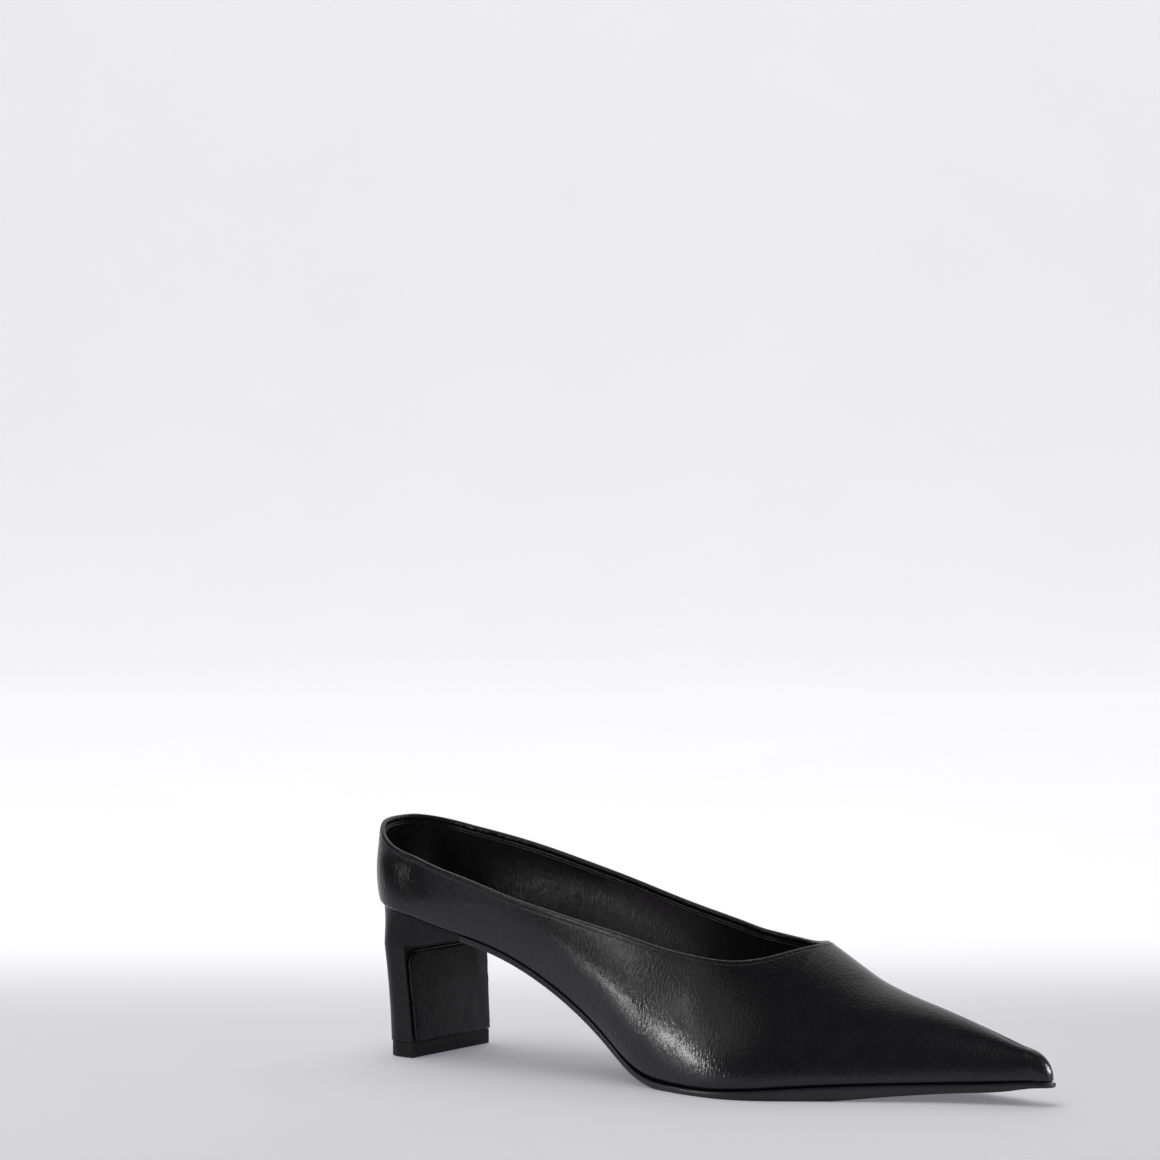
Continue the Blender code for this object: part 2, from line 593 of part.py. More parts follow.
def make_insole():
    """Insole with its sock, inside the upper on the sole and the heel seat."""
    work = bmesh.new()
    sections = {}
    for side in (LATERAL, MEDIAL):
        ribs, _, inner = upper_side(side)
        rows = []
        for rib, row in zip(ribs, inner):
            low = row[0].copy()
            high = inner_row(row, INSOLE_THICKNESS)
            rows.append((rib, low, high))
        sections[side] = rows
    rings = []
    for (left, left_low, left_high), (_, right_low, right_high) in zip(
            sections[LATERAL], sections[MEDIAL]):
        if left.kind == "tip" or left_low[0] > LENGTH - INSOLE_SHORT:
            continue
        ring = []
        for low, high, side in ((left_low, left_high, LATERAL), (right_low, right_high, MEDIAL)):
            half = min(abs(low[1]), abs(high[1])) - INSOLE_CLEARANCE
            x = max(low[0], high[0])
            if left.kind == "seat":
                x += INSOLE_CLEARANCE * math.cos(left.turn)
            y = side * max(half, 0.0)
            bottom = np.array([x, y, foot_height(max(x, 0.0))])
            top = bottom + np.array([0.0, 0.0, INSOLE_THICKNESS])
            ring += [bottom, top] if side == LATERAL else [top, bottom]
        rings.append(ring + ring[:1])
    grid_faces(work, rings)
    cap_ring(work, rings[-1][:-1])
    close_up(work)
    return new_object("insole", work, SOCK_LEATHER)


def heel_world(x, y, z):
    """From the heel's own frame to the shoe's."""
    return np.array([HEEL_PLACE + x * math.cos(HEEL_TURN) + y * math.sin(HEEL_TURN),
                     -x * math.sin(HEEL_TURN) + y * math.cos(HEEL_TURN), z])


def column_share(height):
    """How far up the heel's column a height is, from the top-lift to the breast's end."""
    return (height - TOP_LIFT_THICKNESS) / (BREAST_HEIGHT - TOP_LIFT_THICKNESS)


def column_half(height):
    return (HEEL_WIDTH + HEEL_FLARE * column_share(height)) / 2


def breast_x(height):
    """Front face of the column in the heel's own frame."""
    return HEEL_FRONT - HEEL_RAKE * column_share(height)


def back_turns():
    """Turns round the back of the heel, from the lateral to the medial side."""
    return [-math.pi / 2 + math.pi * k / HEEL_ARC for k in range(HEEL_ARC + 1)]


def column_loop(height, inset=0.0):
    """Section of the heel's column, from the lateral front corner round its back."""
    half = column_half(height) - inset
    front = breast_x(height) - inset
    back = -HEEL_BACK - HEEL_BACK_SWELL * column_share(height) ** 2 + inset
    points = []
    for turn in back_turns():
        cosine, sine = rounded(abs(turn), COLUMN_POWER)
        points.append((back + HEEL_CAP - HEEL_CAP * cosine, math.copysign(half * sine, turn)))
    straight = [front + (points[0][0] - front) * k / SIDE_STEPS for k in range(SIDE_STEPS)]
    loop = [(x, -half) for x in straight] + points + [(x, half) for x in reversed(straight)]
    return [heel_world(x, y, height) for x, y in loop]


def seat_loop():
    """Edge of the heel's seat, with a point for each one of the column's section."""
    points = []
    for turn in back_turns():
        side = MEDIAL if turn > 0 else LATERAL
        cosine, sine = rounded(abs(turn), SEAT_POWER)
        half = foot_half[side](SEAT_CAP) - HEEL_INSET
        points.append((SEAT_CAP - (SEAT_CAP - HEEL_INSET) * cosine, side * half * sine))
    sides = {}
    for side in (LATERAL, MEDIAL):
        lip = HEEL_LIP + side * foot_half[side](HEEL_LIP) * math.tan(HEEL_TURN)
        places = [lip + (SEAT_CAP - lip) * k / SIDE_STEPS for k in range(SIDE_STEPS)]
        sides[side] = [(x, side * (foot_half[side](x) - HEEL_INSET)) for x in places]
    return sides[LATERAL] + points + sides[MEDIAL][::-1]


def seat_under(x, y):
    """Underside of the seat between the column's breast and the lip."""
    start = heel_world(breast_x(BREAST_HEIGHT), y, 0.0)[0]
    end = HEEL_LIP + y * math.tan(HEEL_TURN)
    share = min(max((x - start) / (end - start), 0.0), 1.0)
    return BREAST_HEIGHT + (sole_top(end) - HEEL_LIP_EDGE - BREAST_HEIGHT) * share ** SEAT_BEND


# Steps from the end of the heel's breast to its seat. forward is the front
# corners' way to the lip, outward the way of the rest to the seat's edge and
# rise its way up.
Step = namedtuple("Step", "forward rise outward")
SEAT_STEPS = [
    Step(0.05, 0.16, 0.06),
    Step(0.18, 0.34, 0.20),
    Step(0.42, 0.55, 0.44),
    Step(0.72, 0.78, 0.76),
    Step(1.00, 0.93, 0.97),
    Step(1.00, 1.00, 1.00),
]
COLUMN_LEVELS = [0.0, 0.25, 0.5, 0.75, 1.0]


def make_heel():
    """Covered heel: a column with a flat breast that spreads into the seat."""
    work = bmesh.new()
    low = TOP_LIFT_THICKNESS + GAP
    loops = [column_loop(low + (BREAST_HEIGHT - low) * share) for share in COLUMN_LEVELS]
    column_top = loops[-1]
    seat = seat_loop()
    last = len(seat) - 1
    for step in SEAT_STEPS:
        loop = []
        for k, (start, (x, y)) in enumerate(zip(column_top, seat)):
            frontness = max(1.0 - min(k, last - k) / SIDE_STEPS, 0.0)
            share = step.outward + (step.forward - step.outward) * frontness
            px = start[0] + (x - start[0]) * share
            py = start[1] + (y - start[1]) * share
            back_z = start[2] + (sole_top(x) - start[2]) * step.rise
            front_z = sole_top(px) if step is SEAT_STEPS[-1] else seat_under(px, py)
            loop.append(np.array([px, py, back_z + (front_z - back_z) * frontness]))
        loops.append(loop)
    grid_faces(work, [loop + loop[:1] for loop in loops])
    cap_ring(work, loops[0])
    seat_top(work, loops[-1])
    close_up(work)
    return new_object("heel", work, HEEL_LEATHER)


def seat_top(work, loop):
    """Top of the heel, bent like the seat: strips across between matching points."""
    last = len(loop) - 1
    for k in range(len(loop) // 2):
        corners = (loop[k], loop[k + 1], loop[last - k - 1], loop[last - k])
        if k + 1 == last - k - 1:
            corners = (loop[k], loop[k + 1], loop[last - k])
        work.faces.new([work.verts.new(point) for point in corners])


def make_top_lift():
    """Rubber tread piece under the heel, with its lower edge broken."""
    work = bmesh.new()
    loops = []
    for height, inset in ((0.0, TOP_LIFT_INSET + EDGE_BREAK), (EDGE_BREAK, TOP_LIFT_INSET),
                          (TOP_LIFT_THICKNESS, TOP_LIFT_INSET)):
        section = column_loop(TOP_LIFT_THICKNESS, inset)
        loops.append([np.array([x, y, height]) for x, y, _ in section])
    grid_faces(work, [loop + loop[:1] for loop in loops])
    cap_ring(work, loops[0])
    cap_ring(work, loops[-1])
    close_up(work)
    return new_object("top_lift", work, TOP_LIFT_RUBBER)


def cover_outline():
    """Flap's edge seen from the front: distance across and height."""
    low = TOP_LIFT_THICKNESS + 2 * GAP
    top = BREAST_HEIGHT - COVER_DROP
    half = column_half(low) - COVER_MARGIN
    centre = column_half(top) - COVER_MARGIN - COVER_CORNER
    points = [(-half, low), (half, low)]
    turns = [math.pi / 2 * k / CORNER_STEPS for k in range(CORNER_STEPS + 1)]
    for sign, order in ((1.0, turns), (-1.0, turns[::-1])):
        for turn in order:
            points.append((sign * (centre + COVER_CORNER * math.cos(turn)),
                           top - COVER_CORNER * (1.0 - math.sin(turn))))
    return points


def make_breast_cover():
    """Leather flap glued on the heel's breast."""
    work = bmesh.new()
    faces = []
    for out in (GAP, GAP + COVER_THICKNESS):
        faces.append([heel_world(breast_x(z) + out, y, z) for y, z in cover_outline()])
    grid_faces(work, [face + face[:1] for face in faces])
    for face in faces:
        cap_ring(work, face)
    close_up(work)
    return new_object("breast_cover", work, COVER_LEATHER)


UPPER_LEATHER = material("smooth_black_nappa", (0.012, 0.012, 0.013), 0.38)
SOLE_LEATHER = material("black_sole_leather", (0.014, 0.014, 0.015), 0.45)
HEEL_LEATHER = material("black_heel_leather", (0.012, 0.012, 0.013), 0.42)
COVER_LEATHER = material("black_breast_leather", (0.018, 0.018, 0.019), 0.55)
TOP_LIFT_RUBBER = material("black_rubber", (0.02, 0.02, 0.022), 0.6)
SOCK_LEATHER = material("black_sock_leather", (0.016, 0.016, 0.017), 0.6)

shoe = bpy.data.objects.new("shoe", None)
bpy.context.scene.collection.objects.link(shoe)

pieces = [make_upper(), make_outsole(), make_insole(), make_heel(), make_top_lift(),
          make_breast_cover()]

corners = np.array([vertex.co[:] for piece in pieces for vertex in piece.data.vertices])
lowest, highest = corners.min(axis=0), corners.max(axis=0)
shoe.location = (-(lowest[0] + highest[0]) / 2, -(lowest[1] + highest[1]) / 2, -lowest[2])
bpy.context.view_layer.update()
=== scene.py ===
import math
from collections import namedtuple

import bmesh
import bpy
import numpy as np
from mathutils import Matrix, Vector, noise
from mathutils.bvhtree import BVHTree
from mathutils.kdtree import KDTree


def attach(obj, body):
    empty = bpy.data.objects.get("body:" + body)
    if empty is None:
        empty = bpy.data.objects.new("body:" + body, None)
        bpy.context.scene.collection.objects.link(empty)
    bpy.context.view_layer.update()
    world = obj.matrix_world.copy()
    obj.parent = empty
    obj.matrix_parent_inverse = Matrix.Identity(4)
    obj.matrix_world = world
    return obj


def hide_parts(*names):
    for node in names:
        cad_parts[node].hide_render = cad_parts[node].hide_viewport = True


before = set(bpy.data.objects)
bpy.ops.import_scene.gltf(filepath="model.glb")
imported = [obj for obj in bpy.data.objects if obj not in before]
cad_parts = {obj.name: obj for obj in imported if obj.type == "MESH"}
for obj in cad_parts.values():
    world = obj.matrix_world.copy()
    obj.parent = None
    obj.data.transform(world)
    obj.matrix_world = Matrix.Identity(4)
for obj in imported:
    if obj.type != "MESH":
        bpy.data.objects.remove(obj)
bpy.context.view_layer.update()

# THE UPPER
# One piece of smooth black nappa with a thin black lining glued inside it, pulled over
# a pointed last and lasted in between insole and sole. Its edge is folded in all round
# the opening and stitched down, and the lining is cut off just under the fold.
MM = 0.001
LENGTH = 260.0 * MM         # seat line's back to the tip of the toe
BALL_WIDTH = 78.0 * MM
SEAT_WIDTH = 48.0 * MM
SEAT_HEIGHT = 55.8 * MM
BACK_HEIGHT = 28.5 * MM
INSTEP_HEIGHT = 49.6 * MM
THROAT_REACH = 175.2 * MM
OPENING_WIDTH = 59.0 * MM
TOE_SPRING = 7.8 * MM
TOE_DEPTH = 9.8 * MM
TOE_WIDTH = 7.4 * MM
TOE_CAP = 6.5 * MM
NOSE_BACK = 6.6 * MM
NOSE_START = 0.88
NOSE_ROUND = 0.35
NOSE_PULL = 0.72
TOE_POWER = 2.1
SEAT_CAP = 20.0 * MM
SEAT_POWER = 2.5
BACK_LEAN = 1.2 * MM
COUNTER_SWELL = 3.0 * MM
COLLAR_SWELL = 1.3 * MM
SOLE_THICKNESS = 4.9 * MM
COLLAR_HEIGHT = SEAT_HEIGHT + BACK_HEIGHT
WALL = 1.8 * MM
RIM_ROUND = 0.7 * MM
PLACE = np.array([-129.2437, 5.4022, 0.0]) * MM   # the shoe's own frame in the row's

# The feather line, section by section: along is a share of LENGTH.
Foot = namedtuple("Foot", "along lateral medial height sole")
FEET = [
    Foot(0.000, 0.490 * SEAT_WIDTH, 0.505 * SEAT_WIDTH, 1.000 * SEAT_HEIGHT, 0.42),
    Foot(0.077, 0.534 * SEAT_WIDTH, 0.466 * SEAT_WIDTH, 0.928 * SEAT_HEIGHT, 0.42),
    Foot(0.134, 0.567 * SEAT_WIDTH, 0.433 * SEAT_WIDTH, 0.866 * SEAT_HEIGHT, 0.42),
    Foot(0.190, 0.583 * SEAT_WIDTH, 0.388 * SEAT_WIDTH, 0.808 * SEAT_HEIGHT, 0.43),
    Foot(0.249, 0.362 * BALL_WIDTH, 0.214 * BALL_WIDTH, 0.717 * SEAT_HEIGHT, 0.44),
    Foot(0.306, 0.363 * BALL_WIDTH, 0.200 * BALL_WIDTH, 0.584 * SEAT_HEIGHT, 0.46),
    Foot(0.360, 0.371 * BALL_WIDTH, 0.203 * BALL_WIDTH, 0.422 * SEAT_HEIGHT, 0.50),
    Foot(0.402, 0.391 * BALL_WIDTH, 0.224 * BALL_WIDTH, 0.272 * SEAT_HEIGHT, 0.52),
    Foot(0.443, 0.427 * BALL_WIDTH, 0.268 * BALL_WIDTH, 0.128 * SEAT_HEIGHT, 0.50),
    Foot(0.480, 0.468 * BALL_WIDTH, 0.319 * BALL_WIDTH, 0.063 * SEAT_HEIGHT, 0.52),
    Foot(0.525, 0.521 * BALL_WIDTH, 0.375 * BALL_WIDTH, 0.340 * TOE_SPRING, 0.60),
    Foot(0.575, 0.561 * BALL_WIDTH, 0.415 * BALL_WIDTH, 0.325 * TOE_SPRING, 0.64),
    Foot(0.608, 0.567 * BALL_WIDTH, 0.427 * BALL_WIDTH, 0.375 * TOE_SPRING, 0.70),
    Foot(0.645, 0.540 * BALL_WIDTH, 0.428 * BALL_WIDTH, 0.460 * TOE_SPRING, 0.83),
    Foot(0.690, 0.468 * BALL_WIDTH, 0.402 * BALL_WIDTH, 0.570 * TOE_SPRING, 0.98),
    Foot(0.736, 0.385 * BALL_WIDTH, 0.353 * BALL_WIDTH, 0.665 * TOE_SPRING, 1.00),
    Foot(0.782, 0.303 * BALL_WIDTH, 0.291 * BALL_WIDTH, 0.725 * TOE_SPRING, 0.86),
    Foot(0.839, 0.206 * BALL_WIDTH, 0.209 * BALL_WIDTH, 0.785 * TOE_SPRING, 0.69),
    Foot(0.897, 0.130 * BALL_WIDTH, 0.133 * BALL_WIDTH, 0.865 * TOE_SPRING, 0.60),
    Foot(0.950, 0.800 * TOE_WIDTH, 0.810 * TOE_WIDTH, 0.970 * TOE_SPRING, 0.52),
    Foot(0.975, 0.500 * TOE_WIDTH, 0.500 * TOE_WIDTH, 1.010 * TOE_SPRING, 0.36),
    Foot(1.000, 0.300 * TOE_WIDTH, 0.300 * TOE_WIDTH, 1.000 * TOE_SPRING, 0.24),
]
OPENING_START = 0.536
THROAT = THROAT_REACH / LENGTH
OPENING_FRONT = THROAT - OPENING_START
VAMP = 1.0 - THROAT

# The opening's edge: half widths as shares of OPENING_WIDTH.
Collar = namedtuple("Collar", "along lateral medial")
COLLARS = [
    Collar(0.000, 0.345, 0.330), Collar(0.080, 0.407, 0.368), Collar(0.126, 0.458, 0.403),
    Collar(0.169, 0.490, 0.424), Collar(0.215, 0.512, 0.440), Collar(0.261, 0.527, 0.455),
    Collar(0.306, 0.537, 0.467), Collar(0.360, 0.546, 0.480), Collar(0.414, 0.557, 0.484),
    Collar(0.460, 0.563, 0.478), Collar(0.498, 0.558, 0.458),
    Collar(OPENING_START, 0.535, 0.420), Collar(0.600, 0.500, 0.400),
]
ARCH_WIDEST = 0.33
OPENING_POWER = 1.75
ARCH_START = 0.450

# Its heights as shares of COLLAR_HEIGHT: the medial side stands higher.
Edge = namedtuple("Edge", "along lateral medial")
EDGES = [
    Edge(0.000, 0.930, 0.990), Edge(0.080, 0.864, 0.945), Edge(0.126, 0.826, 0.915),
    Edge(0.169, 0.796, 0.885), Edge(0.215, 0.759, 0.848), Edge(0.261, 0.721, 0.808),
    Edge(0.306, 0.691, 0.768), Edge(0.360, 0.656, 0.716), Edge(0.414, 0.623, 0.666),
    Edge(0.460, 0.592, 0.630), Edge(0.498, 0.565, 0.603), Edge(OPENING_START, 0.545, 0.580),
    Edge(OPENING_START + 0.25 * OPENING_FRONT, 0.532, 0.567),
    Edge(OPENING_START + 0.46 * OPENING_FRONT, 0.530, 0.561),
    Edge(OPENING_START + 0.62 * OPENING_FRONT, 0.540, 0.560),
    Edge(OPENING_START + 0.75 * OPENING_FRONT, 0.556, 0.566),
    Edge(OPENING_START + 0.86 * OPENING_FRONT, 0.572, 0.576),
    Edge(THROAT, INSTEP_HEIGHT / COLLAR_HEIGHT, INSTEP_HEIGHT / COLLAR_HEIGHT),
]

# The vamp's ridge.
Ridge = namedtuple("Ridge", "along height")
RIDGES = [
    Ridge(THROAT, 1.000 * INSTEP_HEIGHT), Ridge(THROAT + 0.092 * VAMP, 0.903 * INSTEP_HEIGHT),
    Ridge(THROAT + 0.218 * VAMP, 0.780 * INSTEP_HEIGHT),
    Ridge(THROAT + 0.347 * VAMP, 0.687 * INSTEP_HEIGHT),
    Ridge(THROAT + 0.479 * VAMP, 0.618 * INSTEP_HEIGHT),
    Ridge(THROAT + 0.601 * VAMP, 0.554 * INSTEP_HEIGHT),
    Ridge(THROAT + 0.724 * VAMP, 0.480 * INSTEP_HEIGHT),
    Ridge(THROAT + 0.847 * VAMP, TOE_SPRING + 1.210 * TOE_DEPTH),
    Ridge(THROAT + 0.923 * VAMP, TOE_SPRING + 0.980 * TOE_DEPTH),
    Ridge(1.000, TOE_SPRING + 0.720 * TOE_DEPTH),
]

# How the sides swell, as shares of BALL_WIDTH sideways and of their height upwards.
Swell = namedtuple("Swell", "along lateral_foot medial_foot foot_rise "
                            "lateral_top medial_top top_drop")
SWELLS = [
    Swell(0.000, 0.034, 0.034, 0.34, 0.014, 0.014, 0.30),
    Swell(0.080, 0.026, 0.040, 0.34, 0.006, 0.020, 0.30),
    Swell(0.200, 0.030, 0.100, 0.34, 0.004, 0.036, 0.30),
    Swell(0.320, 0.066, 0.140, 0.34, 0.016, 0.055, 0.32),
    Swell(0.420, 0.105, 0.140, 0.32, 0.050, 0.065, 0.34),
    Swell(0.480, 0.085, 0.110, 0.30, 0.075, 0.080, 0.34),
    Swell(0.536, 0.060, 0.075, 0.28, 0.110, 0.110, 0.34),
]
Arch = namedtuple("Arch", "along lateral_foot medial_foot foot_rise lateral_top medial_top")
ARCHES = [
    Arch(0.450, 0.100, 0.175, 0.32, 0.330, 0.395), Arch(0.500, 0.080, 0.100, 0.32, 0.305, 0.325),
    Arch(0.560, 0.060, 0.065, 0.32, 0.272, 0.262), Arch(0.620, 0.045, 0.045, 0.32, 0.242, 0.228),
    Arch(0.673, 0.034, 0.034, 0.33, 0.226, 0.212), Arch(0.740, 0.025, 0.025, 0.36, 0.196, 0.188),
    Arch(0.840, 0.014, 0.014, 0.40, 0.128, 0.128), Arch(0.930, 0.010, 0.010, 0.42, 0.070, 0.070),
    Arch(1.000, 0.010, 0.010, 0.45, 0.034, 0.034),
]
SEAT_RIBS = 28
OPENING_RIBS = 34
TIP_RIBS = 14
RIB_GAP = 1.25 * MM
RIB_STEPS = 52
HALVINGS = 40
MERGE = 0.001 * MM
LATERAL, MEDIAL = -1.0, 1.0
UP = np.array([0.0, 0.0, 1.0])


def smooth_curve(places, values):
    """Curve with no breaks in its bend through the rows of a table."""
    places = np.asarray(places, float)
    values = np.asarray(values, float)
    step = np.diff(places)
    rise = np.diff(values) / step
    count = len(places)
    system = np.zeros((count, count))
    target = np.zeros(count)
    system[0, 0] = system[-1, -1] = 1.0
    for row in range(1, count - 1):
        system[row, row - 1] = step[row - 1]
        system[row, row] = 2.0 * (step[row - 1] + step[row])
        system[row, row + 1] = step[row]
        target[row] = 6.0 * (rise[row] - rise[row - 1])
    bend = np.linalg.solve(system, target)

    def at(place):
        k = int(np.clip(np.searchsorted(places, place) - 1, 0, count - 2))
        left = place - places[k]
        right = places[k + 1] - place
        width = step[k]
        return float(
            (bend[k] * right ** 3 + bend[k + 1] * left ** 3) / (6.0 * width)
            + (values[k] / width - bend[k] * width / 6.0) * right
            + (values[k + 1] / width - bend[k + 1] * width / 6.0) * left)

    return at


def column(rows, name, size=1.0):
    return smooth_curve([row.along * LENGTH for row in rows],
                        [getattr(row, name) * size for row in rows])


def both_sides(rows, end, size=1.0):
    return {LATERAL: column(rows, "lateral" + end, size),
            MEDIAL: column(rows, "medial" + end, size)}


foot_half = both_sides(FEET, "")
foot_height = column(FEET, "height")
sole_depth = column(FEET, "sole", SOLE_THICKNESS)
collar_half = both_sides(COLLARS, "", OPENING_WIDTH)
collar_height = both_sides(EDGES, "", COLLAR_HEIGHT)
ridge_height = column(RIDGES, "height")
side_foot = both_sides(SWELLS, "_foot", BALL_WIDTH)
side_top = both_sides(SWELLS, "_top", BALL_WIDTH)
side_rise = column(SWELLS, "foot_rise")
side_drop = column(SWELLS, "top_drop")
arch_foot = both_sides(ARCHES, "_foot", BALL_WIDTH)
arch_top = both_sides(ARCHES, "_top", BALL_WIDTH)
arch_rise = column(ARCHES, "foot_rise")


def blend(start, end, place):
    """Soft step from 0 at start to 1 at end, of one place or of many."""
    t = np.clip((place - start) / (end - start), 0.0, 1.0)
    return t * t * (3.0 - 2.0 * t)


def rounded(turn, power):
    """Cosine and sine of a squarish round end: turn is 0 at its middle."""
    return (max(math.cos(turn), 0.0) ** (2.0 / power),
            max(math.sin(turn), 0.0) ** (2.0 / power))


def bezier(foot, low, high, top, t):
    return ((1 - t) ** 3 * foot + 3 * (1 - t) ** 2 * t * low
            + 3 * (1 - t) * t ** 2 * high + t ** 3 * top)


def rib_points(foot, low, high, top, end=1.0):
    return bezier(foot, low, high, top, np.linspace(0.0, end, RIB_STEPS + 1)[:, None])


def foot_point(x, y):
    return np.array([x, y, foot_height(min(max(x, 0.0), LENGTH))])


# A rib runs up one side of the upper, from the feather line to the opening's edge
# or to the vamp's ridge.
Rib = namedtuple("Rib", "kind points")


def seat_rib(side, turn):
    """Rib that fans round the heel: turn is 0 at its back."""
    cosine, sine = rounded(turn, SEAT_POWER)
    foot = foot_point(SEAT_CAP * (1.0 - cosine), side * foot_half[side](SEAT_CAP) * sine)
    x = SEAT_CAP - (SEAT_CAP + BACK_LEAN) * cosine
    peak = COLLAR_HEIGHT - collar_height[side](0.0)
    height = collar_height[side](max(x, 0.0)) + peak * math.cos(turn) ** 2
    top = np.array([x, side * collar_half[side](SEAT_CAP) * sine, height])
    away = np.array([-math.cos(turn), side * math.sin(turn), 0.0])
    back, flank = math.cos(turn) ** 2, math.sin(turn) ** 2
    low_swell = COUNTER_SWELL * back + side_foot[side](SEAT_CAP) * flank
    high_swell = COLLAR_SWELL * back + side_top[side](SEAT_CAP) * flank
    high = top[2] - foot[2]
    low_pull = foot + away * low_swell + UP * side_rise(SEAT_CAP) * high
    high_pull = top + away * high_swell - UP * side_drop(SEAT_CAP) * high
    return Rib("seat", rib_points(foot, low_pull, high_pull, top))


def wall_points(side, x):
    foot = foot_point(x, side * foot_half[side](x))
    top = np.array([x, side * collar_half[side](x), collar_height[side](x)])
    high = top[2] - foot[2]
    low_pull = foot + np.array([0.0, side * side_foot[side](x), side_rise(x) * high])
    high_pull = top + np.array([0.0, side * side_top[side](x), -side_drop(x) * high])
    return rib_points(foot, low_pull, high_pull, top)


def arch_points(side, x, ridge, end=1.0):
    foot = foot_point(x, side * foot_half[side](x))
    back = NOSE_BACK * blend(NOSE_START * LENGTH, LENGTH - TOE_CAP, x)
    high = ridge - foot[2]
    low_pull = foot + np.array([0.0, side * arch_foot[side](x), arch_rise(x) * high])
    top = np.array([x - back, 0.0, ridge])
    high_pull = top + np.array([back * NOSE_PULL, side * arch_top[side](x), 0.0])
    return rib_points(foot, low_pull, high_pull, top, end)


def edge_points(side, x, half):
    """Points up the instep's arch as far as the opening's edge cuts it off."""
    foot = foot_half[side](x)
    low, high = ARCH_WIDEST, 1.0
    for _ in range(HALVINGS):
        end = (low + high) / 2
        if bezier(foot, foot + arch_foot[side](x), arch_top[side](x), 0.0, end) > half:
            low = end
        else:
            high = end
    weight = (1 - end) ** 3 + 3 * (1 - end) ** 2 * end * (1 - arch_rise(x))
    ridge = (collar_height[side](x) - weight * foot_height(x)) / (1 - weight)
    return arch_points(side, x, ridge, end)


def collar_rib(side, x):
    share = blend(ARCH_START * LENGTH, OPENING_START * LENGTH, x)
    points = wall_points(side, x)
    if share > 0.0:
        points = points + (edge_points(side, x, collar_half[side](x)) - points) * share
    return Rib("collar", points)


def opening_rib(side, turn):
    start = OPENING_START * LENGTH
    cosine, sine = rounded(turn, OPENING_POWER)
    x = start + (THROAT_REACH - start) * cosine
    return Rib("collar", edge_points(side, x, collar_half[side](start) * sine))


def vamp_rib(side, x):
    back = NOSE_BACK * blend(NOSE_START * LENGTH, LENGTH - TOE_CAP, x)
    return Rib("vamp", arch_points(side, x, ridge_height(x - back)))


def tip_rib(side, turn):
    start = LENGTH - TOE_CAP
    cosine, sine = rounded(turn, TOE_POWER)
    foot = foot_point(start + TOE_CAP * cosine, side * foot_half[side](start) * sine)
    top_x = start - NOSE_BACK + TOE_CAP * NOSE_ROUND * cosine
    top = np.array([top_x, 0.0, ridge_height(top_x)])
    high = top[2] - foot[2]
    low_pull = foot + UP * arch_rise(foot[0]) * high
    low_pull += np.array([cosine, side * sine, 0.0]) * arch_foot[side](start)
    forward = (foot[0] - top[0]) * NOSE_PULL
    high_pull = top + np.array([forward, side * arch_top[side](start) * sine, 0.0])
    return Rib("tip", rib_points(foot, low_pull, high_pull, top))


def spread(start, end, step):
    count = max(int(round((end - start) / step)), 1)
    return [start + (end - start) * k / count for k in range(1, count)]


def side_ribs(side):
    quarter = math.pi / 2
    start = OPENING_START * LENGTH
    ribs = [seat_rib(side, quarter * k / SEAT_RIBS) for k in range(SEAT_RIBS + 1)]
    ribs += [collar_rib(side, x) for x in spread(SEAT_CAP, start, RIB_GAP)]
    ribs += [opening_rib(side, quarter * (1 - k / OPENING_RIBS))
             for k in range(OPENING_RIBS + 1)]
    ribs += [vamp_rib(side, x) for x in spread(THROAT_REACH, LENGTH - TOE_CAP, RIB_GAP)]
    ribs += [tip_rib(side, quarter * (1 - k / TIP_RIBS)) for k in range(TIP_RIBS + 1)]
    return ribs


def grid_out(grid, side):
    """Unit direction out of one side's skin at each point."""
    out = np.cross(np.gradient(grid, axis=0), np.gradient(grid, axis=1)) * -side
    out[np.abs(grid[..., 1]) < MERGE, 1] = 0.0
    return out / np.maximum(np.linalg.norm(out, axis=2, keepdims=True), 1e-12)


def dense(line, gap):
    """Points on a line, no further apart than gap."""
    made = []
    for a, b in zip(line, line[1:]):
        count = max(int(np.linalg.norm(b - a) / gap), 1)
        made += [a + (b - a) * k / count for k in range(count)]
    return np.array(made + [line[-1]])


def distances(points, line):
    """Distance from each point to a line."""
    tree = KDTree(len(line))
    for k, point in enumerate(line):
        tree.insert(point, k)
    tree.balance()
    flat = points.reshape(-1, 3)
    return np.array([tree.find(point)[2] for point in flat]).reshape(points.shape[:-1])


# The creases of this one shoe, each a soft trough or ridge in the leather. across is
# its half width and depth how far it lies under the surface, or over it below zero.
Crease = namedtuple("Crease", "start end across depth")
CREASES = [
    Crease((-3.0, -20.0, 74.8), (-3.0, 16.0, 75.6), 3.4, 0.55),
    Crease((-3.0, -14.0, 79.6), (-3.0, 12.0, 79.9), 2.2, -0.22),
    Crease((1.0, -21.0, 74.0), (26.0, -26.0, 68.5), 3.0, 0.16),
    Crease((88.0, -34.0, 17.5), (97.0, -33.0, 38.0), 3.4, 0.10),
    Crease((101.0, -35.5, 12.0), (108.0, -35.0, 34.0), 3.8, 0.14),
    Crease((112.0, -38.0, 8.0), (121.0, -36.0, 30.0), 3.6, 0.12),
    Crease((186.0, -30.0, 12.0), (194.0, -2.0, 42.0), 7.0, 0.30),
    Crease((194.0, -2.0, 41.0), (187.0, 30.0, 12.0), 7.0, 0.25),
]


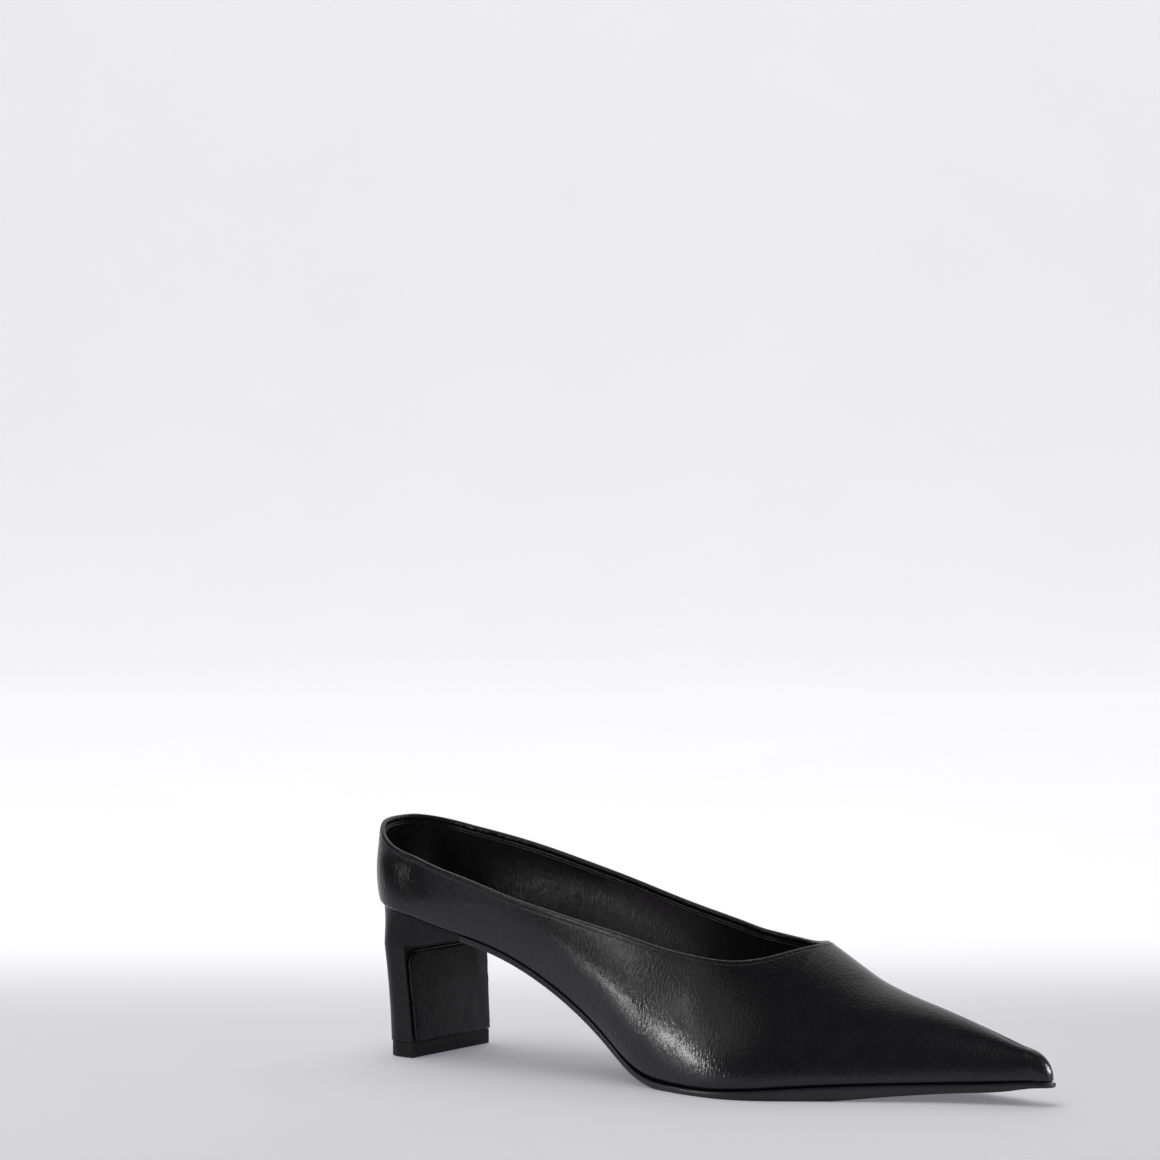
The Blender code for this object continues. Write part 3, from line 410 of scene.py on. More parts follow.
def relief(points):
    """How far the creases sink the leather in at each point."""
    sunk = np.zeros(points.shape[:-1])
    for crease in CREASES:
        a, b = np.array(crease.start) * MM, np.array(crease.end) * MM
        way = b - a
        share = np.clip(((points - a) @ way) / (way @ way), 0.0, 1.0)
        gap = np.linalg.norm(points - a - share[..., None] * way, axis=-1)
        ends = blend(0.0, 0.18, share) * blend(1.0, 0.82, share)
        sunk += crease.depth * MM * ends * np.exp(-(gap / (crease.across * MM)) ** 2)
    return sunk


TUCK = 0.5 * MM             # how far the leather turns in over the sole's edge
TUCK_SHARE = 0.05           # share of a rib's way up over which it does
RIM_STEPS = 8

skins = {}
for side in (LATERAL, MEDIAL):
    ribs = side_ribs(side)
    grid = np.array([rib.points for rib in ribs])
    out = grid_out(grid, side)
    up_share = np.linspace(0.0, 1.0, RIB_STEPS + 1)[None, :]
    tuck = TUCK * (1.0 - blend(0.0, TUCK_SHARE, up_share))
    outer = grid - out * (relief(grid) + tuck)[..., None]
    inner = grid - out * WALL
    inner[:, 0, 2] = grid[:, 0, 2]
    rims = [k for k, rib in enumerate(ribs) if rib.kind in ("seat", "collar")]
    skins[side] = (outer, inner, rims)


def rim_loop(which):
    """The opening's edge on the outer (0) or inner (1) skin, once round."""
    lateral = skins[LATERAL][which][skins[LATERAL][2], -1]
    medial = skins[MEDIAL][which][skins[MEDIAL][2], -1]
    return np.concatenate([lateral, medial[::-1][1:]])


def grid_faces(work, rows):
    """Quads between rows of points; corners that meet are merged afterwards."""
    made = [[work.verts.new(point) for point in row] for row in rows]
    for first, second in zip(made, made[1:]):
        for k in range(len(first) - 1):
            work.faces.new((first[k], first[k + 1], second[k + 1], second[k]))
    return made


def closed(work):
    bmesh.ops.remove_doubles(work, verts=work.verts, dist=MERGE)
    bmesh.ops.dissolve_degenerate(work, edges=work.edges, dist=MERGE)
    bmesh.ops.recalc_face_normals(work, faces=work.faces)


def piece_from(name, work, finish):
    """Turns mesh work in the shoe's own frame into a smooth piece in the row's frame."""
    bmesh.ops.translate(work, verts=work.verts, vec=PLACE)
    mesh = bpy.data.meshes.new(name)
    work.to_mesh(mesh)
    work.free()
    mesh.materials.append(finish)
    mesh.shade_smooth()
    made = bpy.data.objects.new(name, mesh)
    bpy.context.scene.collection.objects.link(made)
    return made


def colour(code):
    """Linear red, green, blue and alpha of an sRGB hex value."""
    parts = [int(code[k:k + 2], 16) / 255 for k in (1, 3, 5)]
    return [p / 12.92 if p <= 0.04045 else ((p + 0.055) / 1.055) ** 2.4 for p in parts] + [1.0]


def add(tree, kind, inputs=None, **settings):
    """Adds a node with its settings; an input is a value or the socket that feeds it."""
    made = tree.nodes.new(kind)
    for name, value in settings.items():
        setattr(made, name, value)
    for socket, value in (inputs or {}).items():
        if isinstance(value, bpy.types.NodeSocket):
            tree.links.new(value, made.inputs[socket])
        else:
            made.inputs[socket].default_value = value
    return made


def new_finish(name, roughness, **values):
    """A material with its shader's own values set, and its tree and shader."""
    made = bpy.data.materials.new(name)
    made.use_nodes = True
    shader = made.node_tree.nodes["Principled BSDF"]
    shader.inputs["Roughness"].default_value = roughness
    for socket, value in values.items():
        shader.inputs[socket.replace("_", " ")].default_value = value
    return made, made.node_tree, shader


def cells(size):
    """Texture scale for a pattern whose cells are size millimetres."""
    return 1.0 / (size * MM)


# Smooth nappa: drum-dyed calf skin with a thin, even, semi-gloss finish. It gives a soft
# broad highlight, broken up by fine pores that the last has pulled long up the sides.
nappa, tree, shader = new_finish("drum_dyed_nappa", 0.32, IOR=1.43, Coat_Weight=0.15,
                                 Coat_Roughness=0.2)
where = add(tree, "ShaderNodeTexCoord").outputs["Object"]
edge = add(tree, "ShaderNodeAttribute", attribute_name="edge_mm").outputs["Fac"]
inside = add(tree, "ShaderNodeAttribute", attribute_name="inside").outputs["Fac"]
pulled = add(tree, "ShaderNodeMapping", {"Vector": where, "Scale": (1.0, 1.0, 0.3)})
pores = add(tree, "ShaderNodeTexNoise", {"Vector": pulled.outputs["Vector"],
            "Scale": cells(0.75), "Detail": 1.0, "Roughness": 0.5, "Distortion": 0.1})
belly = add(tree, "ShaderNodeTexNoise", {"Vector": where, "Scale": cells(7.0), "Detail": 2.0,
            "Roughness": 0.5})
# The stitch row pulls the fold down 1.4 mm from the edge, inside and outside
beside = add(tree, "ShaderNodeMath", {0: edge, 1: 1.4}, operation="SUBTRACT")
apart = add(tree, "ShaderNodeMath", {0: beside.outputs[0]}, operation="ABSOLUTE")
row_sunk = add(tree, "ShaderNodeMapRange", {"Value": apart.outputs[0], "From Max": 0.55},
               interpolation_type="SMOOTHSTEP")
sunk = add(tree, "ShaderNodeMath", {0: inside, 1: 0.16, 2: 0.06}, operation="MULTIPLY_ADD")
# Inside, the lining starts under the fold
lined = add(tree, "ShaderNodeMapRange", {"Value": edge, "From Min": 2.5, "From Max": 2.9})
lining = add(tree, "ShaderNodeMath", {0: lined.outputs["Result"], 1: inside},
             operation="MULTIPLY")
fine = add(tree, "ShaderNodeTexNoise", {"Vector": where, "Scale": cells(0.5), "Detail": 2.0})
height_1 = add(tree, "ShaderNodeMath", {0: pores.outputs["Fac"], 1: 0.19, 2: 0.0},
               operation="MULTIPLY_ADD")
height_2 = add(tree, "ShaderNodeMath", {0: belly.outputs["Fac"], 1: 0.10,
               2: height_1.outputs[0]}, operation="MULTIPLY_ADD")
height_3 = add(tree, "ShaderNodeMath", {0: row_sunk.outputs["Result"], 1: sunk.outputs[0],
               2: height_2.outputs[0]}, operation="MULTIPLY_ADD")
height_4 = add(tree, "ShaderNodeMath", {0: fine.outputs["Fac"], 1: 0.03,
               2: height_3.outputs[0]}, operation="MULTIPLY_ADD")
bump = add(tree, "ShaderNodeBump", {"Height": height_4.outputs[0], "Strength": 1.0,
           "Distance": MM})
tree.links.new(bump.outputs["Normal"], shader.inputs["Normal"])
hide = add(tree, "ShaderNodeMix", {0: belly.outputs["Fac"], 6: colour("#121114"),
           7: colour("#1a191c")}, data_type="RGBA")
# Painted sheen: the lining's colour is made pale in a mottled patch at the inner ball, where
# light from above falls in through the opening
from_ball = add(tree, "ShaderNodeVectorMath", {0: where, 1: (-0.036, 0.033, 0.052)},
                operation="DISTANCE")
sheen_patch = add(tree, "ShaderNodeMapRange", {"Value": from_ball.outputs["Value"],
            "From Min": 0.009, "From Max": 0.034, "To Min": 1.0, "To Max": 0.0},
            interpolation_type="SMOOTHSTEP")
sheen_speckle = add(tree, "ShaderNodeTexNoise", {"Vector": where, "Scale": cells(1.3),
              "Detail": 3.0, "Roughness": 0.7})
painted_sheen = add(tree, "ShaderNodeMath", {0: sheen_patch.outputs["Result"],
             1: sheen_speckle.outputs["Fac"]}, operation="MULTIPLY")
# Lining colour, with the painted sheen mixed in
lining_and_painted_sheen = add(tree, "ShaderNodeMix", {0: painted_sheen.outputs[0], 6: colour("#232123"),
              7: colour("#625e62")}, data_type="RGBA")
mixed = add(tree, "ShaderNodeMix", {0: lining.outputs[0], 6: hide.outputs[2],
            7: lining_and_painted_sheen.outputs[2]}, data_type="RGBA")
tree.links.new(mixed.outputs[2], shader.inputs["Base Color"])
gloss = add(tree, "ShaderNodeMapRange", {"Value": belly.outputs["Fac"], "From Min": 0.25,
            "From Max": 0.75, "To Min": 0.26, "To Max": 0.31})
mottle = add(tree, "ShaderNodeTexNoise", {"Vector": where, "Scale": cells(2.4), "Detail": 4.0,
             "Roughness": 0.7})
sheen = add(tree, "ShaderNodeMapRange", {"Value": mottle.outputs["Fac"], "From Min": 0.38,
            "From Max": 0.62, "To Min": 0.34, "To Max": 0.54})
dull = add(tree, "ShaderNodeMix", {0: lining.outputs[0], 2: gloss.outputs["Result"],
           3: sheen.outputs["Result"]})
tree.links.new(dull.outputs[0], shader.inputs["Roughness"])
bare = add(tree, "ShaderNodeMath", {0: lining.outputs[0], 1: -0.15, 2: 0.15},
           operation="MULTIPLY_ADD")
tree.links.new(bare.outputs[0], shader.inputs["Coat Weight"])

rims_out, rims_in = dense(rim_loop(0), 0.1 * MM), dense(rim_loop(1), 0.1 * MM)
work = bmesh.new()
edge_mm = work.verts.layers.float.new("edge_mm")
inside_mark = work.verts.layers.float.new("inside")
for side in (LATERAL, MEDIAL):
    outer, inner, rims = skins[side]
    for grid, line, mark in ((outer, rims_out, 0.0), (inner, rims_in, 1.0)):
        far = distances(grid, line) / MM
        for row, row_far in zip(grid_faces(work, grid), far):
            for vertex, value in zip(row, row_far):
                vertex[edge_mm] = value
                vertex[inside_mark] = mark
    grid_faces(work, [[a[0], b[0]] for a, b in zip(outer, inner)])
    fold = []
    for k in rims:
        a, b = outer[k, -1], inner[k, -1]
        away = outer[k, -1] - outer[k, -3]
        away -= (b - a) * (away @ (b - a)) / ((b - a) @ (b - a))
        away *= RIM_ROUND / np.linalg.norm(away)
        turns = [math.pi * step / RIM_STEPS for step in range(RIM_STEPS + 1)]
        fold.append([a + (b - a) * (1 - math.cos(t)) / 2 + away * math.sin(t) for t in turns])
    grid_faces(work, fold)
closed(work)
upper = piece_from("upper_leather", work, nappa)
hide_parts("upper")
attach(upper, "root")

# THE LINING'S EDGE AND THE TOPLINE STITCHES
# The lining is trimmed after it is glued in, so its cut edge stands up as a fine cord just
# under the fold. One row of black thread holds fold and lining, about five stitches a centimetre
# finer than a millimetre apart, pulled into the leather on both faces.
FOLD_DEPTH = 2.7 * MM
STITCH_DEPTH = 1.4 * MM
EDGE_WIDTH = 0.85 * MM
STITCH_PITCH = 2.1 * MM
STITCH_LENGTH = 1.75 * MM
THREAD = 0.34 * MM


def skin_tree(which):
    """Search tree of the outer (0) or inner (1) skin, both sides together."""
    points, faces = [], []
    for side in (LATERAL, MEDIAL):
        grid = skins[side][which]
        rows, count = grid.shape[:2]
        first = len(points)
        points += [Vector(point) for point in grid.reshape(-1, 3)]
        for r in range(rows - 1):
            for k in range(count - 1):
                a = first + r * count + k
                quad = (a, a + 1, a + count + 1, a + count)
                faces.append(quad if (side < 0) == (which == 0) else quad[::-1])
    return BVHTree.FromPolygons(points, faces)


def below_edge(tree, line, depth, lift):
    """A line on a skin that keeps its distance under the opening's edge."""
    made = []
    count = len(line)
    for k in range(count - 1):
        ahead = Vector(line[(k + 1) % (count - 1)] - line[k - 1 if k else count - 2])
        place = Vector(line[k])
        for _ in range(6):
            _, out, _, _ = tree.find_nearest(place)
            down = out.cross(ahead).normalized()
            if k == 0 and not made:
                turned = 1.0 if down.z < 0 else -1.0
            place = tree.find_nearest(place + down * (turned * depth / 6))[0]
        out = tree.find_nearest(place)[1]
        made.append(place + out * lift)
    return made


def path_mesh(name, points):
    """A closed line of edges for a node tree to follow, in the row's frame."""
    mesh = bpy.data.meshes.new(name)
    count = len(points)
    mesh.from_pydata([Vector(PLACE) + point for point in points],
                     [(k, (k + 1) % count) for k in range(count)], [])
    made = bpy.data.objects.new(name, mesh)
    bpy.context.scene.collection.objects.link(made)
    return made


def node_tree(name, **sizes):
    """An empty node tree with a named input for each size, and its two ends."""
    tree = bpy.data.node_groups.new(name, "GeometryNodeTree")
    tree.interface.new_socket("Path", in_out="INPUT", socket_type="NodeSocketGeometry")
    keys = {}
    for size in sizes:
        keys[size] = tree.interface.new_socket(size, in_out="INPUT",
                                               socket_type="NodeSocketFloat").identifier
    tree.interface.new_socket("Pieces", in_out="OUTPUT", socket_type="NodeSocketGeometry")
    start = tree.nodes.new("NodeGroupInput")
    return tree, keys, start.outputs


def grown(name, path, tree, keys, sizes):
    """The plain mesh that a node tree makes along a path; the path then goes."""
    way = path.modifiers.new("grow", "NODES")
    way.node_group = tree
    for size, value in sizes.items():
        way[keys[size]] = value
    bpy.context.view_layer.update()
    whole = path.evaluated_get(bpy.context.evaluated_depsgraph_get())
    mesh = bpy.data.meshes.new_from_object(whole)
    made = bpy.data.objects.new(name, mesh)
    bpy.context.scene.collection.objects.link(made)
    bpy.data.objects.remove(path)
    return made


# Cut edge of the lining: the same leather, inked black, burnished a little by the knife
inked, tree, shader = new_finish("inked_lining_edge", 0.36, IOR=1.5)
where = add(tree, "ShaderNodeTexCoord").outputs["Object"]
fibre = add(tree, "ShaderNodeTexNoise", {"Vector": where, "Scale": cells(0.7), "Detail": 3.0})
shade = add(tree, "ShaderNodeMix", {0: fibre.outputs["Fac"], 6: colour("#1c1b1d"),
            7: colour("#2b2a2c")}, data_type="RGBA")
tree.links.new(shade.outputs[2], shader.inputs["Base Color"])
bump = add(tree, "ShaderNodeBump", {"Height": fibre.outputs["Fac"], "Distance": 0.05 * MM})
tree.links.new(bump.outputs["Normal"], shader.inputs["Normal"])

edge_sizes = {"Width": EDGE_WIDTH, "Step": 1.0 * MM}
tree, keys, given = node_tree("lining_edge_cord", **edge_sizes)
line = add(tree, "GeometryNodeMeshToCurve", {"Mesh": given["Path"]})
even = add(tree, "GeometryNodeResampleCurve", {"Curve": line.outputs["Curve"],
           "Length": given["Step"]}, mode="LENGTH")
half = add(tree, "ShaderNodeMath", {0: given["Width"], 1: 0.5}, operation="MULTIPLY")
round_cut = add(tree, "GeometryNodeCurvePrimitiveCircle", {"Resolution": 10,
                "Radius": half.outputs[0]})
swept = add(tree, "GeometryNodeCurveToMesh", {"Curve": even.outputs["Curve"],
            "Profile Curve": round_cut.outputs["Curve"]})
soft = add(tree, "GeometryNodeSetShadeSmooth", {"Geometry": swept.outputs["Mesh"]})
real = add(tree, "GeometryNodeRealizeInstances", {"Geometry": soft.outputs["Geometry"]})
painted = add(tree, "GeometryNodeSetMaterial", {"Geometry": real.outputs["Geometry"],
              "Material": inked})
add(tree, "NodeGroupOutput", {"Pieces": painted.outputs["Geometry"]})

inner_tree, outer_tree = skin_tree(1), skin_tree(0)
inner_line, outer_line = dense(rim_loop(1), 0.8 * MM), dense(rim_loop(0), 0.8 * MM)
path = path_mesh("lining_path", below_edge(inner_tree, inner_line, FOLD_DEPTH, 0.05 * MM))
lining_edge = grown("lining_edge", path, tree, keys, edge_sizes)
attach(lining_edge, "root")

# Bonded polyester thread: black, slightly shiny twist, sunk to half its thickness
thread, tree, shader = new_finish("black_polyester_thread", 0.55, IOR=1.5,
                                  Sheen_Weight=0.15)
where = add(tree, "ShaderNodeTexCoord").outputs["Object"]
twist = add(tree, "ShaderNodeTexNoise", {"Vector": where, "Scale": cells(0.3), "Detail": 1.0})
shade = add(tree, "ShaderNodeMix", {0: twist.outputs["Fac"], 6: colour("#161617"),
            7: colour("#39383b")}, data_type="RGBA")
tree.links.new(shade.outputs[2], shader.inputs["Base Color"])
bump = add(tree, "ShaderNodeBump", {"Height": twist.outputs["Fac"], "Distance": 0.04 * MM})
tree.links.new(bump.outputs["Normal"], shader.inputs["Normal"])

stitch_sizes = {"Pitch": STITCH_PITCH, "Stitch": STITCH_LENGTH, "Thread": THREAD}
tree, keys, given = node_tree("stitch_row", **stitch_sizes)
line = add(tree, "GeometryNodeMeshToCurve", {"Mesh": given["Path"]})
spots = add(tree, "GeometryNodeCurveToPoints", {"Curve": line.outputs["Curve"],
            "Length": given["Pitch"]}, mode="LENGTH")
ball = add(tree, "GeometryNodeMeshUVSphere", {"Segments": 8, "Rings": 6, "Radius": 0.5})
size = add(tree, "ShaderNodeCombineXYZ", {"X": given["Thread"], "Y": given["Thread"],
           "Z": given["Stitch"]})
row = add(tree, "GeometryNodeInstanceOnPoints", {"Points": spots.outputs["Points"],
          "Instance": ball.outputs["Mesh"], "Rotation": spots.outputs["Rotation"],
          "Scale": size.outputs["Vector"]})
real = add(tree, "GeometryNodeRealizeInstances", {"Geometry": row.outputs["Instances"]})
soft = add(tree, "GeometryNodeSetShadeSmooth", {"Geometry": real.outputs["Geometry"]})
painted = add(tree, "GeometryNodeSetMaterial", {"Geometry": soft.outputs["Geometry"],
              "Material": thread})
add(tree, "NodeGroupOutput", {"Pieces": painted.outputs["Geometry"]})

for name, search, line in (("topline_stitches_inside", inner_tree, inner_line),
                           ("topline_stitches_outside", outer_tree, outer_line)):
    path = path_mesh(name + "_path", below_edge(search, line, STITCH_DEPTH, 0.02 * MM))
    stitches = grown(name, path, tree, keys, stitch_sizes)
    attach(stitches, "root")

# THE INSOLE AND ITS SOCK
# A board under thin foam, covered with black sock leather that wraps round its edge. The
# upper is lasted round it, so it fills the bottom of the shoe from wall to wall.
INSOLE_THICKNESS = 2.4 * MM
INSOLE_SHORT = 16.5 * MM
SOCK_EDGE = 0.9 * MM        # rounding of its edge
SOCK_GAP = 0.35 * MM
SOCK_ACROSS = 20
SOCK_CROWN = 0.5 * MM       # the foam swells a little between the edges


def inner_half(row, height):
    """Half width inside the upper at a height over the feather line."""
    rise = row[:, 2] - row[0, 2]
    k = int(np.argmax(rise >= height))
    share = (height - rise[k - 1]) / (rise[k] - rise[k - 1])
    return row[k - 1] + (row[k] - row[k - 1]) * share


sections = []
for left, right in zip(skins[LATERAL][1], skins[MEDIAL][1]):
    if left[0, 0] > LENGTH - INSOLE_SHORT:
        break
    highs = [inner_half(row, INSOLE_THICKNESS) for row in (left, right)]
    halves = [min(abs(row[0, 1]), abs(high[1])) - SOCK_GAP
              for row, high in zip((left, right), highs)]
    x = max(left[0, 0], right[0, 0], highs[0][0], highs[1][0]) + SOCK_GAP * 0.5
    a, b = max(halves[0], 0.0), max(halves[1], 0.0)
    bottom = foot_height(max(x, 0.0))
    top = bottom + INSOLE_THICKNESS
    ring = [(-a, bottom), (-a, top - SOCK_EDGE)]
    corner = [math.radians(20 * k) for k in range(1, 5)]
    ring += [(-a + SOCK_EDGE * (1 - math.cos(t)), top - SOCK_EDGE * (1 - math.sin(t)))
             for t in corner]
    for k in range(1, SOCK_ACROSS):
        share = k / SOCK_ACROSS
        y = -a + SOCK_EDGE + (a + b - 2 * SOCK_EDGE) * share
        ring.append((y, top + SOCK_CROWN * math.sin(math.pi * share) ** 2))
    ring += [(b - SOCK_EDGE * (1 - math.cos(t)), top - SOCK_EDGE * (1 - math.sin(t)))
             for t in reversed(corner)]
    ring += [(b, top - SOCK_EDGE), (b, bottom)]
    squeeze = 1.0 if a + b > 2.2 * SOCK_EDGE else 0.0
    sections.append([np.array([x, y if squeeze else 0.0, z]) for y, z in ring])

# Sock leather: sheepskin with a dull pigment finish, softer and more matt than the upper
sock_finish, tree, shader = new_finish("black_sheepskin_sock", 0.58, IOR=1.48,
                                       Sheen_Weight=0.1)
where = add(tree, "ShaderNodeTexCoord").outputs["Object"]
cell = add(tree, "ShaderNodeTexVoronoi", {"Vector": where, "Scale": cells(1.2)},
           feature="DISTANCE_TO_EDGE")
pebble = add(tree, "ShaderNodeMapRange", {"Value": cell.outputs["Distance"],
             "From Max": 0.22}, interpolation_type="SMOOTHSTEP")
worn = add(tree, "ShaderNodeTexNoise", {"Vector": where, "Scale": cells(18.0), "Detail": 3.0})
height_1 = add(tree, "ShaderNodeMath", {0: pebble.outputs["Result"], 1: 0.04},
               operation="MULTIPLY")
height_2 = add(tree, "ShaderNodeMath", {0: worn.outputs["Fac"], 1: 0.3,
               2: height_1.outputs[0]}, operation="MULTIPLY_ADD")
bump = add(tree, "ShaderNodeBump", {"Height": height_2.outputs[0], "Distance": MM})
tree.links.new(bump.outputs["Normal"], shader.inputs["Normal"])
shade = add(tree, "ShaderNodeMix", {0: worn.outputs["Fac"], 6: colour("#171618"),
            7: colour("#232124")}, data_type="RGBA")
tree.links.new(shade.outputs[2], shader.inputs["Base Color"])
rough = add(tree, "ShaderNodeMapRange", {"Value": worn.outputs["Fac"], "From Min": 0.3,
            "From Max": 0.7, "To Min": 0.5, "To Max": 0.64})
tree.links.new(rough.outputs["Result"], shader.inputs["Roughness"])

work = bmesh.new()
made = grid_faces(work, [ring + ring[:1] for ring in sections])
work.faces.new(made[-1][:-1])
closed(work)
sock = piece_from("sock", work, sock_finish)
sock.data.set_sharp_from_angle(angle=math.radians(50))
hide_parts("insole")
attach(sock, "root")

# THE OUTSOLE
# Vegetable-tanned sole leather, 5 mm at the joints and pared thin along the waist, glued
# under the lasting margin. Its edge is trimmed, inked black and burnished with wax.
GAP = 0.3 * MM
SOLE_MARGIN = 0.7 * MM
SOLE_PARED = 0.6 * MM       # how far the lower edge is pared back
SOLE_SOFT = 0.45 * MM       # rounding of the upper edge
SHANK_END = 0.40
TREAD_START = 0.50
SOLE_SPARE = 1.25 * MM
SOLE_ACROSS = 16
HEEL_TURN = math.radians(6.7)
HEEL_LIP = 46.2 * MM


def sole_top(x):
    return foot_height(min(max(x, 0.0), LENGTH)) - GAP


def sole_bottom(x):
    return max(sole_top(x) - sole_depth(min(max(x, 0.0), LENGTH)), 0.0)


def sole_ring(lateral, medial):
    """Round a section of the sole: sideways place, depth share and how far it is pared."""
    edge = [(0.00, 0.75), (0.03, 0.32), (0.09, 0.08), (0.18, 0.0), (0.36, 0.0), (0.55, 0.05),
            (0.72, 0.22), (0.86, 0.52), (0.95, 0.85), (1.0, 1.25)]
    ring = [(-lateral, level, inset) for level, inset in edge]
    under = [k / SOLE_ACROSS for k in range(1, SOLE_ACROSS)]
    ring += [(-lateral + (lateral + medial) * share, 1.0, 0.0) for share in under]
    ring += [(medial, level, inset) for level, inset in reversed(edge)]
    over = [(-lateral + (lateral + medial) * share, 0.0, 0.0) for share in reversed(under)]
    return ring + over, len(edge)


lip = HEEL_LIP + GAP
stations = [(lip, foot_half[LATERAL](lip), foot_half[MEDIAL](lip))]
for left, right in zip(side_ribs(LATERAL), side_ribs(MEDIAL)):
    if left.points[0][0] > lip + 0.4 * SOLE_SPARE:
        stations.append((left.points[0][0], -left.points[0][1], right.points[0][1]))
rings = []
for x, lateral, medial in stations:
    forepart = blend(LENGTH * SHANK_END, LENGTH * TREAD_START, x)
    margin = SOLE_MARGIN * forepart - GAP * (1.0 - forepart)
    tip = blend(LENGTH - TOE_CAP, LENGTH, x) * margin
    fade = 1.0 - blend(lip, LENGTH * SHANK_END, x)
    last = x > LENGTH - MERGE
    pared = SOLE_PARED * (0.35 + 0.65 * forepart)
    marks, count = sole_ring(lateral + margin, medial + margin)
    ring = []
    for k, (y, level, inset) in enumerate(marks):
        place = x + tip + y * math.tan(HEEL_TURN) * fade
        top, low = sole_top(place), sole_bottom(place)
        width = 0.0 if last else max(abs(y) - inset * pared, 0.0)
        ring.append(np.array([place - (inset * pared if last else 0.0),
                              math.copysign(width, y), top + (low - top) * level]))
    rings.append(ring)

# Inked, waxed sole edge and a sanded, dyed tread side: a dull black with a fibrous nap
sole_finish, tree, shader = new_finish("burnished_sole_leather", 0.42, IOR=1.5)
where = add(tree, "ShaderNodeTexCoord").outputs["Object"]
laid = add(tree, "ShaderNodeMapping", {"Vector": where, "Scale": (0.22, 0.6, 1.0)})
fibre = add(tree, "ShaderNodeTexNoise", {"Vector": laid.outputs["Vector"],
            "Scale": cells(0.45), "Detail": 4.0, "Roughness": 0.6})
scuff = add(tree, "ShaderNodeTexNoise", {"Vector": where, "Scale": cells(9.0), "Detail": 4.0,
            "Roughness": 0.65})
facing = add(tree, "ShaderNodeSeparateXYZ", {"Vector": add(
    tree, "ShaderNodeNewGeometry").outputs["Normal"]})
under = add(tree, "ShaderNodeMapRange", {"Value": facing.outputs["Z"], "From Min": -0.55,
            "From Max": -0.85}, interpolation_type="SMOOTHSTEP")
shade = add(tree, "ShaderNodeMix", {0: scuff.outputs["Fac"], 6: colour("#151416"),
            7: colour("#232124")}, data_type="RGBA")
tree.links.new(shade.outputs[2], shader.inputs["Base Color"])
rough = add(tree, "ShaderNodeMix", {0: under.outputs["Result"], 2: 0.36, 3: 0.62})
tree.links.new(rough.outputs[0], shader.inputs["Roughness"])
bump = add(tree, "ShaderNodeBump", {"Height": fibre.outputs["Fac"], "Distance": 0.06 * MM})
tree.links.new(bump.outputs["Normal"], shader.inputs["Normal"])

work = bmesh.new()
made = grid_faces(work, [ring + ring[:1] for ring in rings])
work.faces.new(made[0][:-1])
closed(work)
outsole = piece_from("outsole_leather", work, sole_finish)
outsole.data.set_sharp_from_angle(angle=math.radians(55))
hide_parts("outsole")
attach(outsole, "root")

# THE HEEL
# A moulded block, wide and thin, covered with the upper's leather. The cover is drawn
# round the back and its two edges are turned on to the flat breast; the heel spreads
# into the seat on top and is screwed on from inside the shoe.
HEEL_WIDTH = 45.2 * MM
HEEL_FLARE = 3.0 * MM
HEEL_PLACE = 14.6 * MM
HEEL_FRONT = 9.0 * MM
HEEL_RAKE = 2.8 * MM
HEEL_BACK = 6.8 * MM
HEEL_BACK_SWELL = 2.2 * MM
HEEL_CAP = 10.0 * MM
COLUMN_POWER = 2.6
HEEL_DROP = 15.3 * MM
HEEL_LIP_EDGE = 0.8 * MM
HEEL_INSET = 1.3 * MM
SEAT_BEND = 1.25
TOP_LIFT_THICKNESS = 5.4 * MM
BREAST_HEIGHT = SEAT_HEIGHT - HEEL_DROP
HEEL_ARC = 72
SIDE_STEPS = 12
COLUMN_ROWS = 24
SEAT_ROWS = 22
CORNER_ROUND = 0.7 * MM


def heel_world(x, y, z):
    """From the heel's own frame to the shoe's."""
    return np.array([HEEL_PLACE + x * math.cos(HEEL_TURN) + y * math.sin(HEEL_TURN),
                     -x * math.sin(HEEL_TURN) + y * math.cos(HEEL_TURN), z])


def column_share(height):
    return (height - TOP_LIFT_THICKNESS) / (BREAST_HEIGHT - TOP_LIFT_THICKNESS)


def column_half(height):
    return (HEEL_WIDTH + HEEL_FLARE * column_share(height)) / 2


def breast_x(height):
    return HEEL_FRONT - HEEL_RAKE * column_share(height)


def back_turns():
    return [-math.pi / 2 + math.pi * k / HEEL_ARC for k in range(HEEL_ARC + 1)]


def column_loop(height, inset=0.0):
    """Section of the heel, from the lateral front corner round its back."""
    half = column_half(height) - inset
    front = breast_x(height) - inset
    back = -HEEL_BACK - HEEL_BACK_SWELL * column_share(height) ** 2 + inset
    points = []
    for turn in back_turns():
        cosine, sine = rounded(abs(turn), COLUMN_POWER)
        points.append((back + HEEL_CAP - HEEL_CAP * cosine, math.copysign(half * sine, turn)))
    straight = [front + (points[0][0] - front) * k / SIDE_STEPS for k in range(SIDE_STEPS)]
    loop = [(x, -half) for x in straight] + points + [(x, half) for x in reversed(straight)]
    return [heel_world(x, y, height) for x, y in loop]


def seat_loop():
    points = []
    for turn in back_turns():
        side = MEDIAL if turn > 0 else LATERAL
        cosine, sine = rounded(abs(turn), SEAT_POWER)
        half = foot_half[side](SEAT_CAP) - HEEL_INSET
        points.append((SEAT_CAP - (SEAT_CAP - HEEL_INSET) * cosine, side * half * sine))
    sides = {}
    for side in (LATERAL, MEDIAL):
        lip_x = HEEL_LIP + side * foot_half[side](HEEL_LIP) * math.tan(HEEL_TURN)
        places = [lip_x + (SEAT_CAP - lip_x) * k / SIDE_STEPS for k in range(SIDE_STEPS)]
        sides[side] = [(x, side * (foot_half[side](x) - HEEL_INSET)) for x in places]
    return sides[LATERAL] + points + sides[MEDIAL][::-1]


